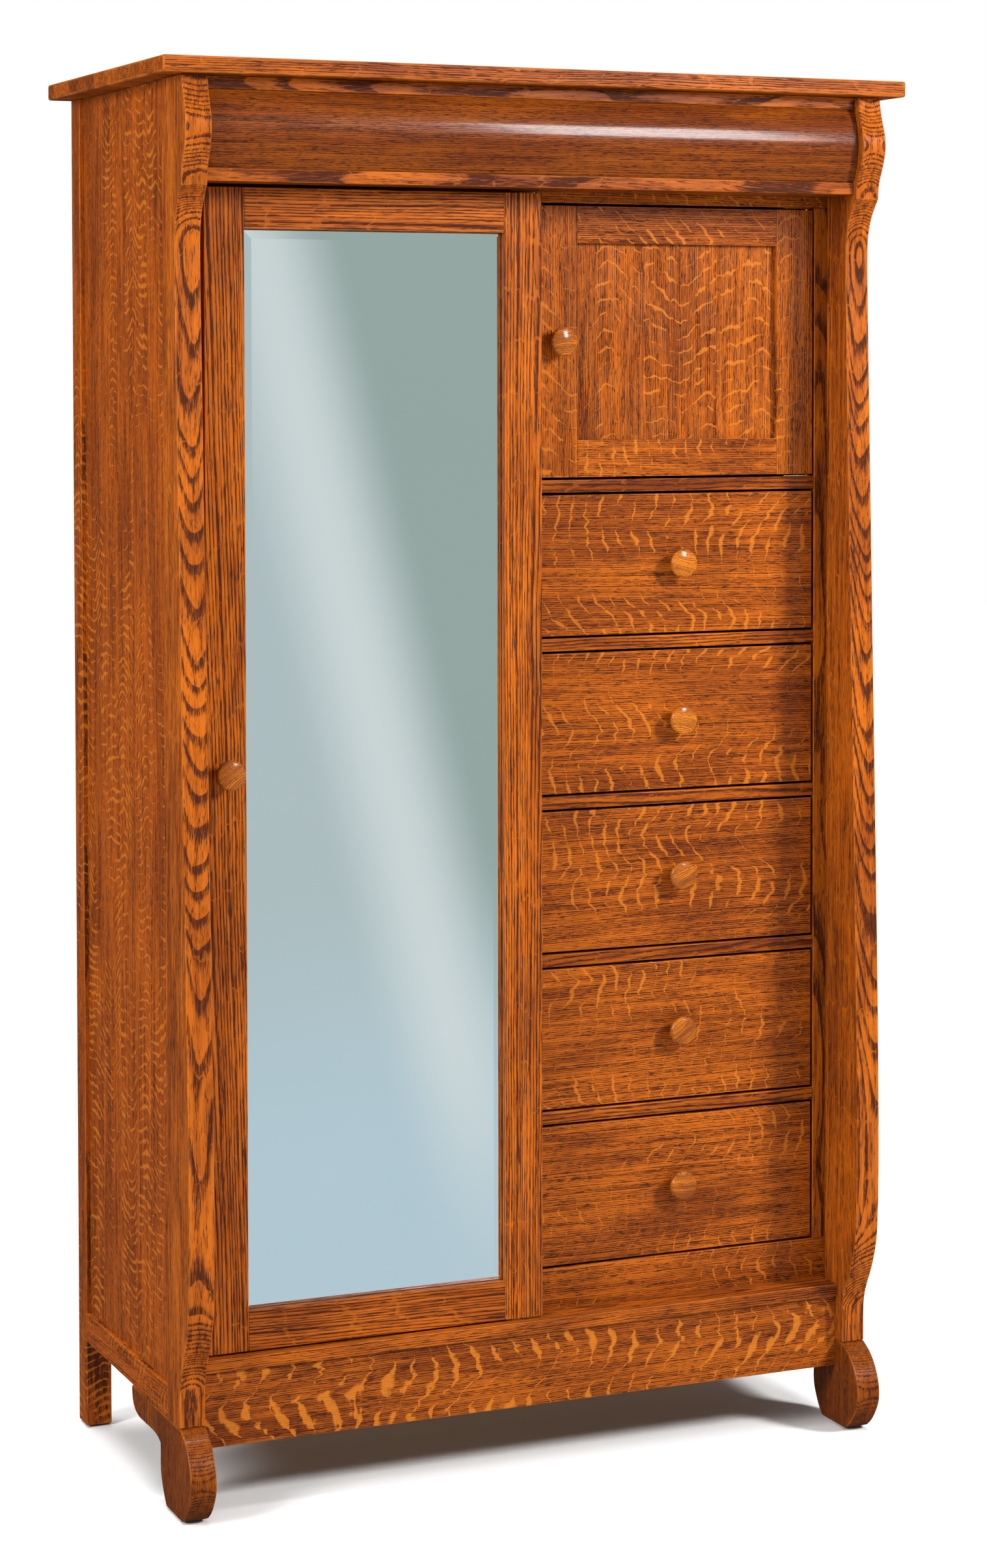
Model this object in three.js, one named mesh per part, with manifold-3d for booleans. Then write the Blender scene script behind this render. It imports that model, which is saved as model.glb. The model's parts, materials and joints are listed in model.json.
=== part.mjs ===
// A free-standing oak armoire: one tall mirror door on the left, a small panelled door over five
// drawers on the right, scroll-cut front posts and feet, a bulging crown and an overhanging top.
// Millimetres, +Z up, front towards -Y, origin on the floor under the middle of the top slab.
import * as THREE from "three";
import { mergeVertices } from "three/addons/utils/BufferGeometryUtils.js";
import Module from "manifold-3d";

const wasm = await Module();
wasm.setup();

// ---------------------------------------------------------------- driving dimensions
// Overall
const HEIGHT = 1905;
const WIDTH = 1072;
const DEPTH = 555;
const FIT_GAP = 0.3; // left between two pieces that are fastened face to face

// Top slab
const SLAB_THICKNESS = 21.8;
const SLAB_SIDE_OVERHANG = 30;
const SLAB_BACK_OVERHANG = 13.2;

// Posts, feet and back legs. A setback is a distance behind the slab's front edge.
const POST_THICKNESS = 35.3;
const POST_BACK_SETBACK = 110.2;
const FOOT_HEIGHT = 123;
const FOOT_SOLE_FRONT = 52;
const FOOT_SOLE_BACK = 108;
const LEG_WIDTH = 36.2;
const LEG_DEPTH = 40.8;

// Sides and back
const SIDE_RAIL_HEIGHT = 42;
const SIDE_RAIL_THICKNESS = 25;
const SIDE_RAIL_INSET = 1;
const SIDE_PANEL_THICKNESS = 19;
const SIDE_PANEL_INSET = 6.5;
const BACK_PANEL_THICKNESS = 6;
const BACK_PANEL_INSET = 15; // in front of the legs' back faces

// Crown, between the posts
const CROWN_STRIP_SETBACK = 30.3;
const CROWN_STRIP_HEIGHT = 17;
const CROWN_TOP_STRIP_DEPTH = 22;
const CROWN_MOULDING_HEIGHT = 101.3;
const CROWN_MOULDING_SHOULDER = 2; // the moulding's edges lie this far behind the strips
const CROWN_MOULDING_BULGE = 16;
const CROWN_MOULDING_BODY = 20;

// Sill and apron, between the posts
const APRON_BOTTOM = 86.5;
const APRON_HEIGHT = 100;
const APRON_SETBACK = 76.7;
const APRON_THICKNESS = 19;
const SILL_THICKNESS = 17.5;
const SILL_SETBACK = 72.1;

// Face frame
const FRAME_SETBACK = 122;
const FRAME_THICKNESS = 19;
const DOOR_STILE_PROUD = 9; // the stiles behind the mirror door stand this far in front
const TOP_RAIL_SHOW = 15;
const BOTTOM_RAIL_SHOW = 55.8;
const RIGHT_STILE_SHOW = 13.8;
const LEFT_STILE_SHOW = 38;
const DRAWER_BAY_WIDTH = 426.5;
const CENTRE_STILE_WIDTH = 50.5;
const PARTITION_THICKNESS = 18.5;
const BOTTOM_PANEL_THICKNESS = 18;
const SHELF_THICKNESS = 17.5;

// Hanging rod
const ROD_RADIUS = 14;
const ROD_BELOW_TOP = 235;
const ROD_SETBACK = 330;
const ROD_END_CLEARANCE = 0.5;

// Mirror door, overlaid on the face frame
const MIRROR_DOOR_THICKNESS = 25;
const MIRROR_DOOR_BACK_GAP = 2;
const MIRROR_DOOR_TOP_GAP = 4.4;
const MIRROR_DOOR_BOTTOM_GAP = 2.5;
const MIRROR_DOOR_LEFT_GAP = 14.3;
const MIRROR_DOOR_RIGHT_REVEAL = 9.2;
const MIRROR_DOOR_STILE_WIDTH = 55.2;
const MIRROR_DOOR_RAIL_WIDTH = 54;
const MIRROR_RECESS = 9.7;
const MIRROR_THICKNESS = 5;
const MIRROR_REBATE = 8; // how far the mirror runs behind the frame on each side

// Small door, inset in the face frame
const DOOR_GAP = 3.5;
const SMALL_DOOR_HEIGHT = 373;
const SMALL_DOOR_THICKNESS = 19;
const SMALL_DOOR_STILE_WIDTH = 56;
const SMALL_DOOR_RAIL_WIDTH = 51;
const PANEL_RECESS = 8;
const PANEL_THICKNESS = 6;
const PANEL_GROOVE = 8;

// Drawers, inset in the face frame
const DRAWER_COUNT = 5;
const DRAWER_GAP = 3.5;
const DRAWER_FRONT_THICKNESS = 19;
const DRAWER_BACK_CLEARANCE = 19.5;
const DRAWER_TOP_CLEARANCE = 50;
const DRAWER_BOX_WALL = 12;
const DRAWER_BOX_FLOOR = 8;
const DRAWER_SIDE_CLEARANCE = 5;
const DRAWER_LIFT = 1; // running clearance over the shelf

// Pivot hinges: a plate with a pin that enters the end of the door's hinge stile
const PIN_LENGTH = 9;
const PIN_CLEARANCE = 0.5;
const PLATE_THICKNESS = 1.2;
const PLATE_WIDTH = 11;
const PLATE_LENGTH = 42;
const PLATE_PAST_PIN = 1;
const MIRROR_PIVOT = { fromEdge: 6, fromFront: 9, radius: 3 };
const SMALL_PIVOT = { fromEdge: 6, fromFront: 6, radius: 2.5 };

// Knobs: height above the face and radius of each point of the turned outline
const KNOB_OUTLINE = [
  [0, 9],
  [3, 8.2],
  [7, 7.4],
  [10.5, 8.6],
  [13, 13],
  [15, 17.6],
  [17.5, 20],
  [20, 19.4],
  [22.2, 16.5],
  [23.8, 10],
  [24.5, 0],
];
const ROUND_SIDES = 24; // flats round a knob, the rod, a pin or its bore
const CUT_OVERLAP = 1; // how far a cutting solid runs past the face it opens

// Front outline of a post. The crown block and the waist are measured down from the post's top,
// the belly and the ankle up from its foot; the second value is the setback.
const CROWN_BLOCK = [
  [0, 20.5],
  [18, 16.5],
  [36, 10.5],
  [52, 4.3],
  [65, 2.3],
  [79, 3.5],
  [96, 9.3],
  [113, 17.8],
  [126, 21.8],
  [141, 23.3],
];
const WAIST = [
  [154, 34],
  [168, 43.5],
  [186, 50.5],
  [205, 53.8],
  [240, 54.2],
  [311, 52],
];
const BELLY = [
  [1030, 36.8],
  [808, 28.2],
  [600, 20.6],
  [400, 14.6],
  [270, 12.9],
  [200, 14.5],
  [154, 18.5],
  [124, 27.5],
  [104, 36],
  [88, 44.5],
  [70, 52.5],
  [52, 56.6],
];
const ANKLE = [36, 57];

// Outline of a front foot: height as a share of the foot's height, and setback
const FOOT_FRONT = [
  [0.927, 40],
  [0.829, 26.5],
  [0.715, 17],
  [0.593, 10.8],
  [0.472, 9],
  [0.358, 12],
  [0.236, 20.5],
  [0.114, 33],
];
const FOOT_BACK = [
  [0.041, 120],
  [0.154, 131.5],
  [0.285, 140.5],
  [0.423, 144.6],
  [0.553, 144],
  [0.659, 144.5],
];
const FOOT_WING = [
  [0.699, 160],
  [0.715, 185],
  [0.711, 215],
  [0.715, 243],
  [0.756, 262],
  [0.846, 273.5],
  [0.967, 277],
];
const CURVE_STEPS = 4; // straight pieces between two points of a curved outline

// ---------------------------------------------------------------- materials
const oak = new THREE.MeshStandardMaterial({ color: 0xa8642a, roughness: 0.42, metalness: 0 });
const darkOak = new THREE.MeshStandardMaterial({ color: 0x8a4c22, roughness: 0.45, metalness: 0 });
const liningOak = new THREE.MeshStandardMaterial({ color: 0xc9a26a, roughness: 0.6, metalness: 0 });
const mirrorGlass = new THREE.MeshStandardMaterial({ color: 0xdfe6e8, roughness: 0.02, metalness: 1 });
const brass = new THREE.MeshStandardMaterial({ color: 0xb99a55, roughness: 0.3, metalness: 1 });

// ---------------------------------------------------------------- positions that follow
const behind = (setback) => setback - DEPTH / 2; // Y of a setback
const slabBottom = HEIGHT - SLAB_THICKNESS;
const postOuter = WIDTH / 2 - SLAB_SIDE_OVERHANG;
const postInner = postOuter - POST_THICKNESS;
const postBack = behind(POST_BACK_SETBACK);
const legBack = DEPTH / 2 - SLAB_BACK_OVERHANG;
const legFront = legBack - LEG_DEPTH;
const legInner = postOuter - LEG_WIDTH;
const sidePanelOuter = postOuter - SIDE_PANEL_INSET;
const sidePanelInner = sidePanelOuter - SIDE_PANEL_THICKNESS;
const sideRailOuter = postOuter - SIDE_RAIL_INSET;
const sideRailTop = FOOT_HEIGHT + SIDE_RAIL_HEIGHT;
const backPanelBack = legBack - BACK_PANEL_INSET;
const backPanelFront = backPanelBack - BACK_PANEL_THICKNESS;
const betweenPosts = [-postInner + FIT_GAP, postInner - FIT_GAP];
const insideWidth = [-sidePanelInner + FIT_GAP, sidePanelInner - FIT_GAP];

const mouldingTop = slabBottom - CROWN_STRIP_HEIGHT;
const mouldingBottom = mouldingTop - CROWN_MOULDING_HEIGHT;
const crownBottom = mouldingBottom - CROWN_STRIP_HEIGHT;
const sillBottom = APRON_BOTTOM + APRON_HEIGHT;
const sillTop = sillBottom + SILL_THICKNESS;
const crownFront = behind(CROWN_STRIP_SETBACK);

const frameFront = behind(FRAME_SETBACK);
const frameBack = frameFront + FRAME_THICKNESS;
const proudFront = frameFront - DOOR_STILE_PROUD;
const frameTop = crownBottom - TOP_RAIL_SHOW; // top of the face frame's openings
const frameBottom = sillTop + BOTTOM_RAIL_SHOW; // bottom of the face frame's openings
const bayRight = postInner - RIGHT_STILE_SHOW;
const bayLeft = bayRight - DRAWER_BAY_WIDTH;
const leftStileInner = -postInner + LEFT_STILE_SHOW;
const centreStileLeft = bayLeft - CENTRE_STILE_WIDTH;
const partitionLeft = (bayLeft + centreStileLeft - PARTITION_THICKNESS) / 2;
const partitionRight = partitionLeft + PARTITION_THICKNESS;

const smallDoorTop = frameTop - DOOR_GAP;
const smallDoorBottom = smallDoorTop - SMALL_DOOR_HEIGHT;
const compartmentFloor = smallDoorBottom - DOOR_GAP;
const shelfCount = DRAWER_COUNT; // one shelf over each drawer
const drawerOpening =
  (compartmentFloor - frameBottom - shelfCount * SHELF_THICKNESS) / DRAWER_COUNT;
const drawerPitch = drawerOpening + SHELF_THICKNESS;

// ---------------------------------------------------------------- makers
const alongY = new THREE.Vector3(0, 1, 0);
const alongZ = new THREE.Vector3(0, 0, 1);
const alongX = new THREE.Vector3(1, 0, 0);

function named(name, geometry, material) {
  const mesh = new THREE.Mesh(geometry, material);
  mesh.name = name;
  return mesh;
}

// A box from its lowest and highest X, Y and Z.
function block(name, [x0, x1], [y0, y1], [z0, z1], material = oak) {
  const mesh = named(name, new THREE.BoxGeometry(x1 - x0, y1 - y0, z1 - z0), material);
  mesh.position.set((x0 + x1) / 2, (y0 + y1) / 2, (z0 + z1) / 2);
  return mesh;
}

function shapeOf(outline) {
  if (outline instanceof THREE.Shape) return outline;
  return new THREE.Shape(outline.map(([across, up]) => new THREE.Vector2(across, up)));
}

// An outline in X and Y, raised from z0 to z1.
function raised(name, outline, [z0, z1], material = oak) {
  const geometry = new THREE.ExtrudeGeometry(shapeOf(outline), { depth: z1 - z0, bevelEnabled: false });
  const mesh = named(name, geometry, material);
  mesh.position.z = z0;
  return mesh;
}

// An outline in Y and Z, swept sideways from x0 to x1.
function swept(name, outline, [x0, x1], material = oak) {
  const geometry = new THREE.ExtrudeGeometry(shapeOf(outline), {
    depth: x1 - x0,
    bevelEnabled: false,
    curveSegments: CURVE_STEPS,
  });
  const mesh = named(name, geometry, material);
  mesh.quaternion.setFromRotationMatrix(new THREE.Matrix4().makeBasis(alongY, alongZ, alongX));
  mesh.position.x = x0;
  return mesh;
}

function uprightPin(radius, z0, z1, x, y) {
  const mesh = new THREE.Mesh(new THREE.CylinderGeometry(radius, radius, z1 - z0, ROUND_SIDES));
  mesh.rotation.x = Math.PI / 2;
  mesh.position.set(x, y, (z0 + z1) / 2);
  return mesh;
}

// A mesh as a solid in the armoire's own frame, and back.
function solidOf(mesh) {
  mesh.updateMatrixWorld(true);
  const bare = mesh.geometry.clone().applyMatrix4(mesh.matrixWorld);
  bare.deleteAttribute("normal");
  bare.deleteAttribute("uv");
  const merged = mergeVertices(bare, 1e-3);
  return new wasm.Manifold(
    new wasm.Mesh({
      numProp: 3,
      vertProperties: merged.attributes.position.array,
      triVerts: new Uint32Array(merged.index.array),
    }),
  );
}

function meshOf(name, solid, material) {
  const { vertProperties, triVerts } = solid.getMesh();
  const geometry = new THREE.BufferGeometry();
  geometry.setAttribute("position", new THREE.BufferAttribute(vertProperties, 3));
  geometry.setIndex(new THREE.BufferAttribute(triVerts, 1));
  geometry.computeVertexNormals();
  return named(name, geometry, material);
}

function joined(first, ...others) {
  const whole = others.reduce((sum, mesh) => sum.add(solidOf(mesh)), solidOf(first));
  return meshOf(first.name, whole, first.material);
}

function cut(from, ...tools) {
  const left = tools.reduce((rest, mesh) => rest.subtract(solidOf(mesh)), solidOf(from));
  return meshOf(from.name, left, from.material);
}

// A turned knob standing out of a front face.
function knob(name, x, faceY, z) {
  const outline = [new THREE.Vector2(0, 0)];
  for (const [height, radius] of KNOB_OUTLINE) {
    outline.push(new THREE.Vector2(radius, height));
  }
  const mesh = named(name, new THREE.LatheGeometry(outline, ROUND_SIDES), oak);
  mesh.rotation.x = Math.PI;
  mesh.position.set(x, faceY - FIT_GAP, z);
  return mesh;
}

// ---------------------------------------------------------------- posts, feet, legs
function postOutline() {
  const top = slabBottom - FIT_GAP;
  const bottom = FOOT_HEIGHT + FIT_GAP;
  const fromTop = ([drop, setback]) => new THREE.Vector2(behind(setback), top - drop);
  const fromFoot = ([rise, setback]) => new THREE.Vector2(behind(setback), FOOT_HEIGHT + rise);
  const crown = CROWN_BLOCK.map(fromTop);
  const shape = new THREE.Shape();
  shape.moveTo(postBack, bottom);
  shape.lineTo(postBack, top);
  shape.lineTo(crown[0].x, crown[0].y);
  shape.splineThru(crown.slice(1));
  shape.splineThru([...WAIST.map(fromTop), ...BELLY.map(fromFoot)]);
  shape.lineTo(behind(ANKLE[1]), FOOT_HEIGHT + ANKLE[0]);
  shape.lineTo(behind(ANKLE[1]), bottom);
  return shape;
}

function footOutline() {
  const place = ([share, setback]) => new THREE.Vector2(behind(setback), share * FOOT_HEIGHT);
  const shape = new THREE.Shape();
  shape.moveTo(behind(FOOT_WING.at(-1)[1]), FOOT_HEIGHT);
  shape.lineTo(behind(ANKLE[1]), FOOT_HEIGHT);
  shape.splineThru([...FOOT_FRONT.map(place), place([0, FOOT_SOLE_FRONT])]);
  shape.lineTo(behind(FOOT_SOLE_BACK), 0);
  shape.splineThru(FOOT_BACK.map(place));
  shape.splineThru(FOOT_WING.map(place));
  return shape;
}

function sides() {
  const group = new THREE.Group();
  for (const [side, sign] of [["left", -1], ["right", 1]]) {
    const span = (inner, outer) => (sign < 0 ? [-outer, -inner] : [inner, outer]);
    const postSpan = span(postInner, postOuter);
    const panelDepth = [postBack + FIT_GAP, legFront - FIT_GAP];
    group.add(
      swept(side + "_post", postOutline(), postSpan),
      swept(side + "_front_foot", footOutline(), postSpan),
      block(side + "_back_leg", span(legInner, postOuter), [legFront, legBack], [0, slabBottom - FIT_GAP]),
      block(
        side + "_side_rail",
        span(sideRailOuter - SIDE_RAIL_THICKNESS, sideRailOuter),
        panelDepth,
        [FOOT_HEIGHT + FIT_GAP, sideRailTop],
      ),
      block(
        side + "_side_panel",
        span(sidePanelInner, sidePanelOuter),
        panelDepth,
        [sideRailTop + FIT_GAP, slabBottom - FIT_GAP],
        darkOak,
      ),
    );
  }
  return group;
}

// ---------------------------------------------------------------- top, crown, sill, apron
function crownMoulding() {
  const top = mouldingTop - FIT_GAP;
  const bottom = mouldingBottom + FIT_GAP;
  const edge = crownFront + CROWN_MOULDING_SHOULDER;
  const middle = (top + bottom) / 2;
  const halfHeight = (top - bottom) / 2;
  const radius = (halfHeight ** 2 + CROWN_MOULDING_BULGE ** 2) / (2 * CROWN_MOULDING_BULGE);
  const centre = edge - CROWN_MOULDING_BULGE + radius;
  const half = Math.asin(halfHeight / radius);
  const shape = new THREE.Shape();
  shape.moveTo(edge + CROWN_MOULDING_BODY, bottom);
  shape.lineTo(edge + CROWN_MOULDING_BODY, top);
  shape.lineTo(edge, top);
  shape.absarc(centre, middle, radius, Math.PI - half, Math.PI + half, false);
  return swept("crown_moulding", shape, betweenPosts);
}

function carcass() {
  const group = new THREE.Group();
  const slabSpan = [-WIDTH / 2, WIDTH / 2];
  const slabDepth = [-DEPTH / 2, DEPTH / 2];
  const behindFrame = [frameBack + FIT_GAP, backPanelFront - FIT_GAP];
  const innerSpan = legInner - FIT_GAP;
  const bottomOutline = [
    [insideWidth[0], behindFrame[0]],
    [insideWidth[1], behindFrame[0]],
    [insideWidth[1], legFront - FIT_GAP],
    [innerSpan, legFront - FIT_GAP],
    [innerSpan, behindFrame[1]],
    [-innerSpan, behindFrame[1]],
    [-innerSpan, legFront - FIT_GAP],
    [insideWidth[0], legFront - FIT_GAP],
  ];
  group.add(
    block("top_slab", slabSpan, slabDepth, [slabBottom, HEIGHT]),
    block(
      "crown_top_strip",
      betweenPosts,
      [crownFront, crownFront + CROWN_TOP_STRIP_DEPTH],
      [mouldingTop, slabBottom - FIT_GAP],
    ),
    crownMoulding(),
    block(
      "crown_bottom_strip",
      betweenPosts,
      [crownFront, frameFront - FIT_GAP],
      [crownBottom, mouldingBottom],
    ),
    block("sill_cap", betweenPosts, [behind(SILL_SETBACK), frameFront - FIT_GAP], [sillBottom, sillTop]),
    block(
      "apron",
      betweenPosts,
      [behind(APRON_SETBACK), behind(APRON_SETBACK) + APRON_THICKNESS],
      [APRON_BOTTOM, sillBottom - FIT_GAP],
    ),
    block(
      "back_panel",
      [-innerSpan, innerSpan],
      [backPanelFront, backPanelBack],
      [sideRailTop, slabBottom - FIT_GAP],
      darkOak,
    ),
    raised("bottom_panel", bottomOutline, [frameBottom - BOTTOM_PANEL_THICKNESS, frameBottom], liningOak),
  );
  return group;
}

// ---------------------------------------------------------------- face frame and inside
function faceFrame() {
  const group = new THREE.Group();
  const openings = [frameBottom + FIT_GAP, frameTop - FIT_GAP];
  const frameDepth = [frameFront, frameBack];
  group.add(
    block("frame_top_rail", insideWidth, frameDepth, [frameTop, slabBottom - FIT_GAP]),
    block("frame_bottom_rail", insideWidth, frameDepth, [sillBottom, frameBottom]),
    block("frame_left_stile", [insideWidth[0], leftStileInner], [proudFront, frameBack], openings),
    block("frame_right_stile", [bayRight, insideWidth[1]], frameDepth, openings),
  );
  return group;
}

// The upright panel between the two halves, with the centre stile glued to its front edge.
function partition() {
  const tongue = frameBack - FRAME_THICKNESS / 2;
  const back = backPanelFront - FIT_GAP;
  const [bottom, stileTop] = [frameBottom + FIT_GAP, frameTop - FIT_GAP];
  const outline = [
    [tongue, bottom],
    [back, bottom],
    [back, slabBottom - FIT_GAP],
    [frameBack + FIT_GAP, slabBottom - FIT_GAP],
    [frameBack + FIT_GAP, stileTop],
    [tongue, stileTop],
  ];
  return joined(
    swept("partition", outline, [partitionLeft, partitionRight]),
    block("centre_stile", [centreStileLeft, bayLeft], [proudFront, frameBack], [bottom, stileTop]),
  );
}

// A shelf with its front edge showing between the stiles; each closes the drawer space below it.
function shelf(name, top) {
  const left = partitionRight + FIT_GAP;
  const back = backPanelFront - FIT_GAP;
  const shoulder = frameBack + FIT_GAP;
  const outline = [
    [bayLeft + FIT_GAP, frameFront],
    [bayRight - FIT_GAP, frameFront],
    [bayRight - FIT_GAP, shoulder],
    [insideWidth[1], shoulder],
    [insideWidth[1], legFront - FIT_GAP],
    [legInner - FIT_GAP, legFront - FIT_GAP],
    [legInner - FIT_GAP, back],
    [left, back],
    [left, shoulder],
    [bayLeft + FIT_GAP, shoulder],
  ];
  return raised(name, outline, [top - SHELF_THICKNESS, top]);
}

function inside() {
  const group = new THREE.Group();
  group.add(partition());
  group.add(shelf("compartment_shelf", compartmentFloor));
  for (let i = 1; i < shelfCount; i += 1) {
    group.add(shelf("drawer_rail_" + i, compartmentFloor - i * drawerPitch));
  }
  const rodEnds = [-sidePanelInner + ROD_END_CLEARANCE, partitionLeft - ROD_END_CLEARANCE];
  const length = rodEnds[1] - rodEnds[0];
  const round = new THREE.CylinderGeometry(ROD_RADIUS, ROD_RADIUS, length, ROUND_SIDES);
  const bar = named("hanging_rod", round, liningOak);
  bar.rotation.z = Math.PI / 2;
  bar.position.set((rodEnds[0] + rodEnds[1]) / 2, behind(ROD_SETBACK), slabBottom - ROD_BELOW_TOP);
  group.add(bar);
  return group;
}

// ---------------------------------------------------------------- pivot hinges
// The plate lies against the case at plateZ, and its pin points up (sign 1) or down (sign -1).
function pivot(name, door, spec, plateZ, sign, gap) {
  const x = door.right - spec.fromEdge;
  const y = door.front + spec.fromFront;
  const plate = [plateZ + sign * FIT_GAP, plateZ + sign * (FIT_GAP + PLATE_THICKNESS)];
  const pin = [plate[0], plateZ + sign * (gap + PIN_LENGTH)];
  const plateEnd = x + spec.radius + PLATE_PAST_PIN;
  const ordered = ([a, b]) => [Math.min(a, b), Math.max(a, b)];
  return joined(
    block(
      name,
      [plateEnd - PLATE_LENGTH, plateEnd],
      [y - PLATE_WIDTH / 2, y + PLATE_WIDTH / 2],
      ordered(plate),
      brass,
    ),
    uprightPin(spec.radius, ...ordered(pin), x, y),
  );
}

// The hole in a door stile's end that takes the pin.
function pinBore(door, spec, endZ, sign) {
  const reach = [endZ - sign * CUT_OVERLAP, endZ + sign * (PIN_LENGTH + PIN_CLEARANCE)];
  const x = door.right - spec.fromEdge;
  const y = door.front + spec.fromFront;
  return uprightPin(spec.radius + PIN_CLEARANCE, Math.min(...reach), Math.max(...reach), x, y);
}

// ---------------------------------------------------------------- mirror door
const mirrorDoor = {
  left: -postInner + MIRROR_DOOR_LEFT_GAP,
  right: bayLeft - MIRROR_DOOR_RIGHT_REVEAL,
  front: proudFront - MIRROR_DOOR_BACK_GAP - MIRROR_DOOR_THICKNESS,
  back: proudFront - MIRROR_DOOR_BACK_GAP,
  bottom: sillTop + MIRROR_DOOR_BOTTOM_GAP,
  top: crownBottom - MIRROR_DOOR_TOP_GAP,
};

// Stile and rail sections are given from the inner edge (0) outwards and from the front back;
// the mirror lies in the rebate behind the front lip.
function mirrorStile(name, inner, outward) {
  const { front, back, bottom, top } = mirrorDoor;
  const lip = front + MIRROR_RECESS;
  const section = [
    [0, front],
    [MIRROR_DOOR_STILE_WIDTH, front],
    [MIRROR_DOOR_STILE_WIDTH, back],
    [MIRROR_REBATE, back],
    [MIRROR_REBATE, lip],
    [0, lip],
  ];
  const outline = section.map(([across, y]) => [inner + outward * across, y]);
  return raised(name, outward > 0 ? outline : outline.reverse(), [bottom, top]);
}

function mirrorRail(name, inner, outward) {
  const { front, back, left, right } = mirrorDoor;
  const lip = front + MIRROR_RECESS;
  const shoulder = MIRROR_DOOR_STILE_WIDTH + FIT_GAP;
  const section = [
    [front, 0],
    [front, MIRROR_DOOR_RAIL_WIDTH],
    [back, MIRROR_DOOR_RAIL_WIDTH],
    [back, MIRROR_REBATE],
    [lip, MIRROR_REBATE],
    [lip, 0],
  ];
  const outline = section.map(([y, across]) => [y, inner + outward * across]);
  return swept(name, outward > 0 ? outline.reverse() : outline, [left + shoulder, right - shoulder]);
}

function buildMirrorDoor() {
  const { left, right, front, bottom, top } = mirrorDoor;
  const group = new THREE.Group();
  const stileInner = [left + MIRROR_DOOR_STILE_WIDTH, right - MIRROR_DOOR_STILE_WIDTH];
  const railInner = [bottom + MIRROR_DOOR_RAIL_WIDTH, top - MIRROR_DOOR_RAIL_WIDTH];
  const cover = MIRROR_REBATE - FIT_GAP;
  const glassFront = front + MIRROR_RECESS + FIT_GAP;
  group.add(
    mirrorStile("mirror_door_left_stile", stileInner[0], -1),
    cut(
      mirrorStile("mirror_door_right_stile", stileInner[1], 1),
      pinBore(mirrorDoor, MIRROR_PIVOT, bottom, 1),
      pinBore(mirrorDoor, MIRROR_PIVOT, top, -1),
    ),
    mirrorRail("mirror_door_bottom_rail", railInner[0], -1),
    mirrorRail("mirror_door_top_rail", railInner[1], 1),
    block(
      "mirror_glass",
      [stileInner[0] - cover, stileInner[1] + cover],
      [glassFront, glassFront + MIRROR_THICKNESS],
      [railInner[0] - cover, railInner[1] + cover],
      mirrorGlass,
    ),
    knob("mirror_door_knob", left + MIRROR_DOOR_STILE_WIDTH / 2, front, (bottom + top) / 2),
  );
  return group;
}

// ---------------------------------------------------------------- small door
const smallDoor = {
  left: bayLeft + DOOR_GAP,
  right: bayRight - DOOR_GAP,
  front: frameFront,
  back: frameFront + SMALL_DOOR_THICKNESS,
  bottom: smallDoorBottom,
  top: smallDoorTop,
};

// A section with a groove for the panel, as [across, Y] pairs from the inner edge outwards.
function groovedSection(width) {
  const { front, back } = smallDoor;
  const near = front + PANEL_RECESS - FIT_GAP;
  const far = front + PANEL_RECESS + PANEL_THICKNESS + FIT_GAP;
  return [
    [0, front],
    [width, front],
    [width, back],
    [0, back],
    [0, far],
    [PANEL_GROOVE, far],
    [PANEL_GROOVE, near],
    [0, near],
  ];
}

function smallStile(name, inner, outward) {
  const outline = groovedSection(SMALL_DOOR_STILE_WIDTH).map(([across, y]) => [inner + outward * across, y]);
  return raised(name, outward > 0 ? outline : outline.reverse(), [smallDoor.bottom, smallDoor.top]);
}

function smallRail(name, inner, outward) {
  const outline = groovedSection(SMALL_DOOR_RAIL_WIDTH).map(([across, y]) => [y, inner + outward * across]);
  const shoulder = SMALL_DOOR_STILE_WIDTH + FIT_GAP;
  const span = [smallDoor.left + shoulder, smallDoor.right - shoulder];
  return swept(name, outward > 0 ? outline.reverse() : outline, span);
}

function buildSmallDoor() {
  const { left, right, front, bottom, top } = smallDoor;
  const group = new THREE.Group();
  const stileInner = [left + SMALL_DOOR_STILE_WIDTH, right - SMALL_DOOR_STILE_WIDTH];
  const railInner = [bottom + SMALL_DOOR_RAIL_WIDTH, top - SMALL_DOOR_RAIL_WIDTH];
  const tongue = PANEL_GROOVE - FIT_GAP;
  group.add(
    smallStile("small_door_left_stile", stileInner[0], -1),
    cut(
      smallStile("small_door_right_stile", stileInner[1], 1),
      pinBore(smallDoor, SMALL_PIVOT, bottom, 1),
      pinBore(smallDoor, SMALL_PIVOT, top, -1),
    ),
    smallRail("small_door_bottom_rail", railInner[0], -1),
    smallRail("small_door_top_rail", railInner[1], 1),
    block(
      "small_door_panel",
      [stileInner[0] - tongue, stileInner[1] + tongue],
      [front + PANEL_RECESS, front + PANEL_RECESS + PANEL_THICKNESS],
      [railInner[0] - tongue, railInner[1] + tongue],
    ),
    knob("small_door_knob", left + SMALL_DOOR_STILE_WIDTH / 2, front, (bottom + top) / 2),
  );
  return group;
}

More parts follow.
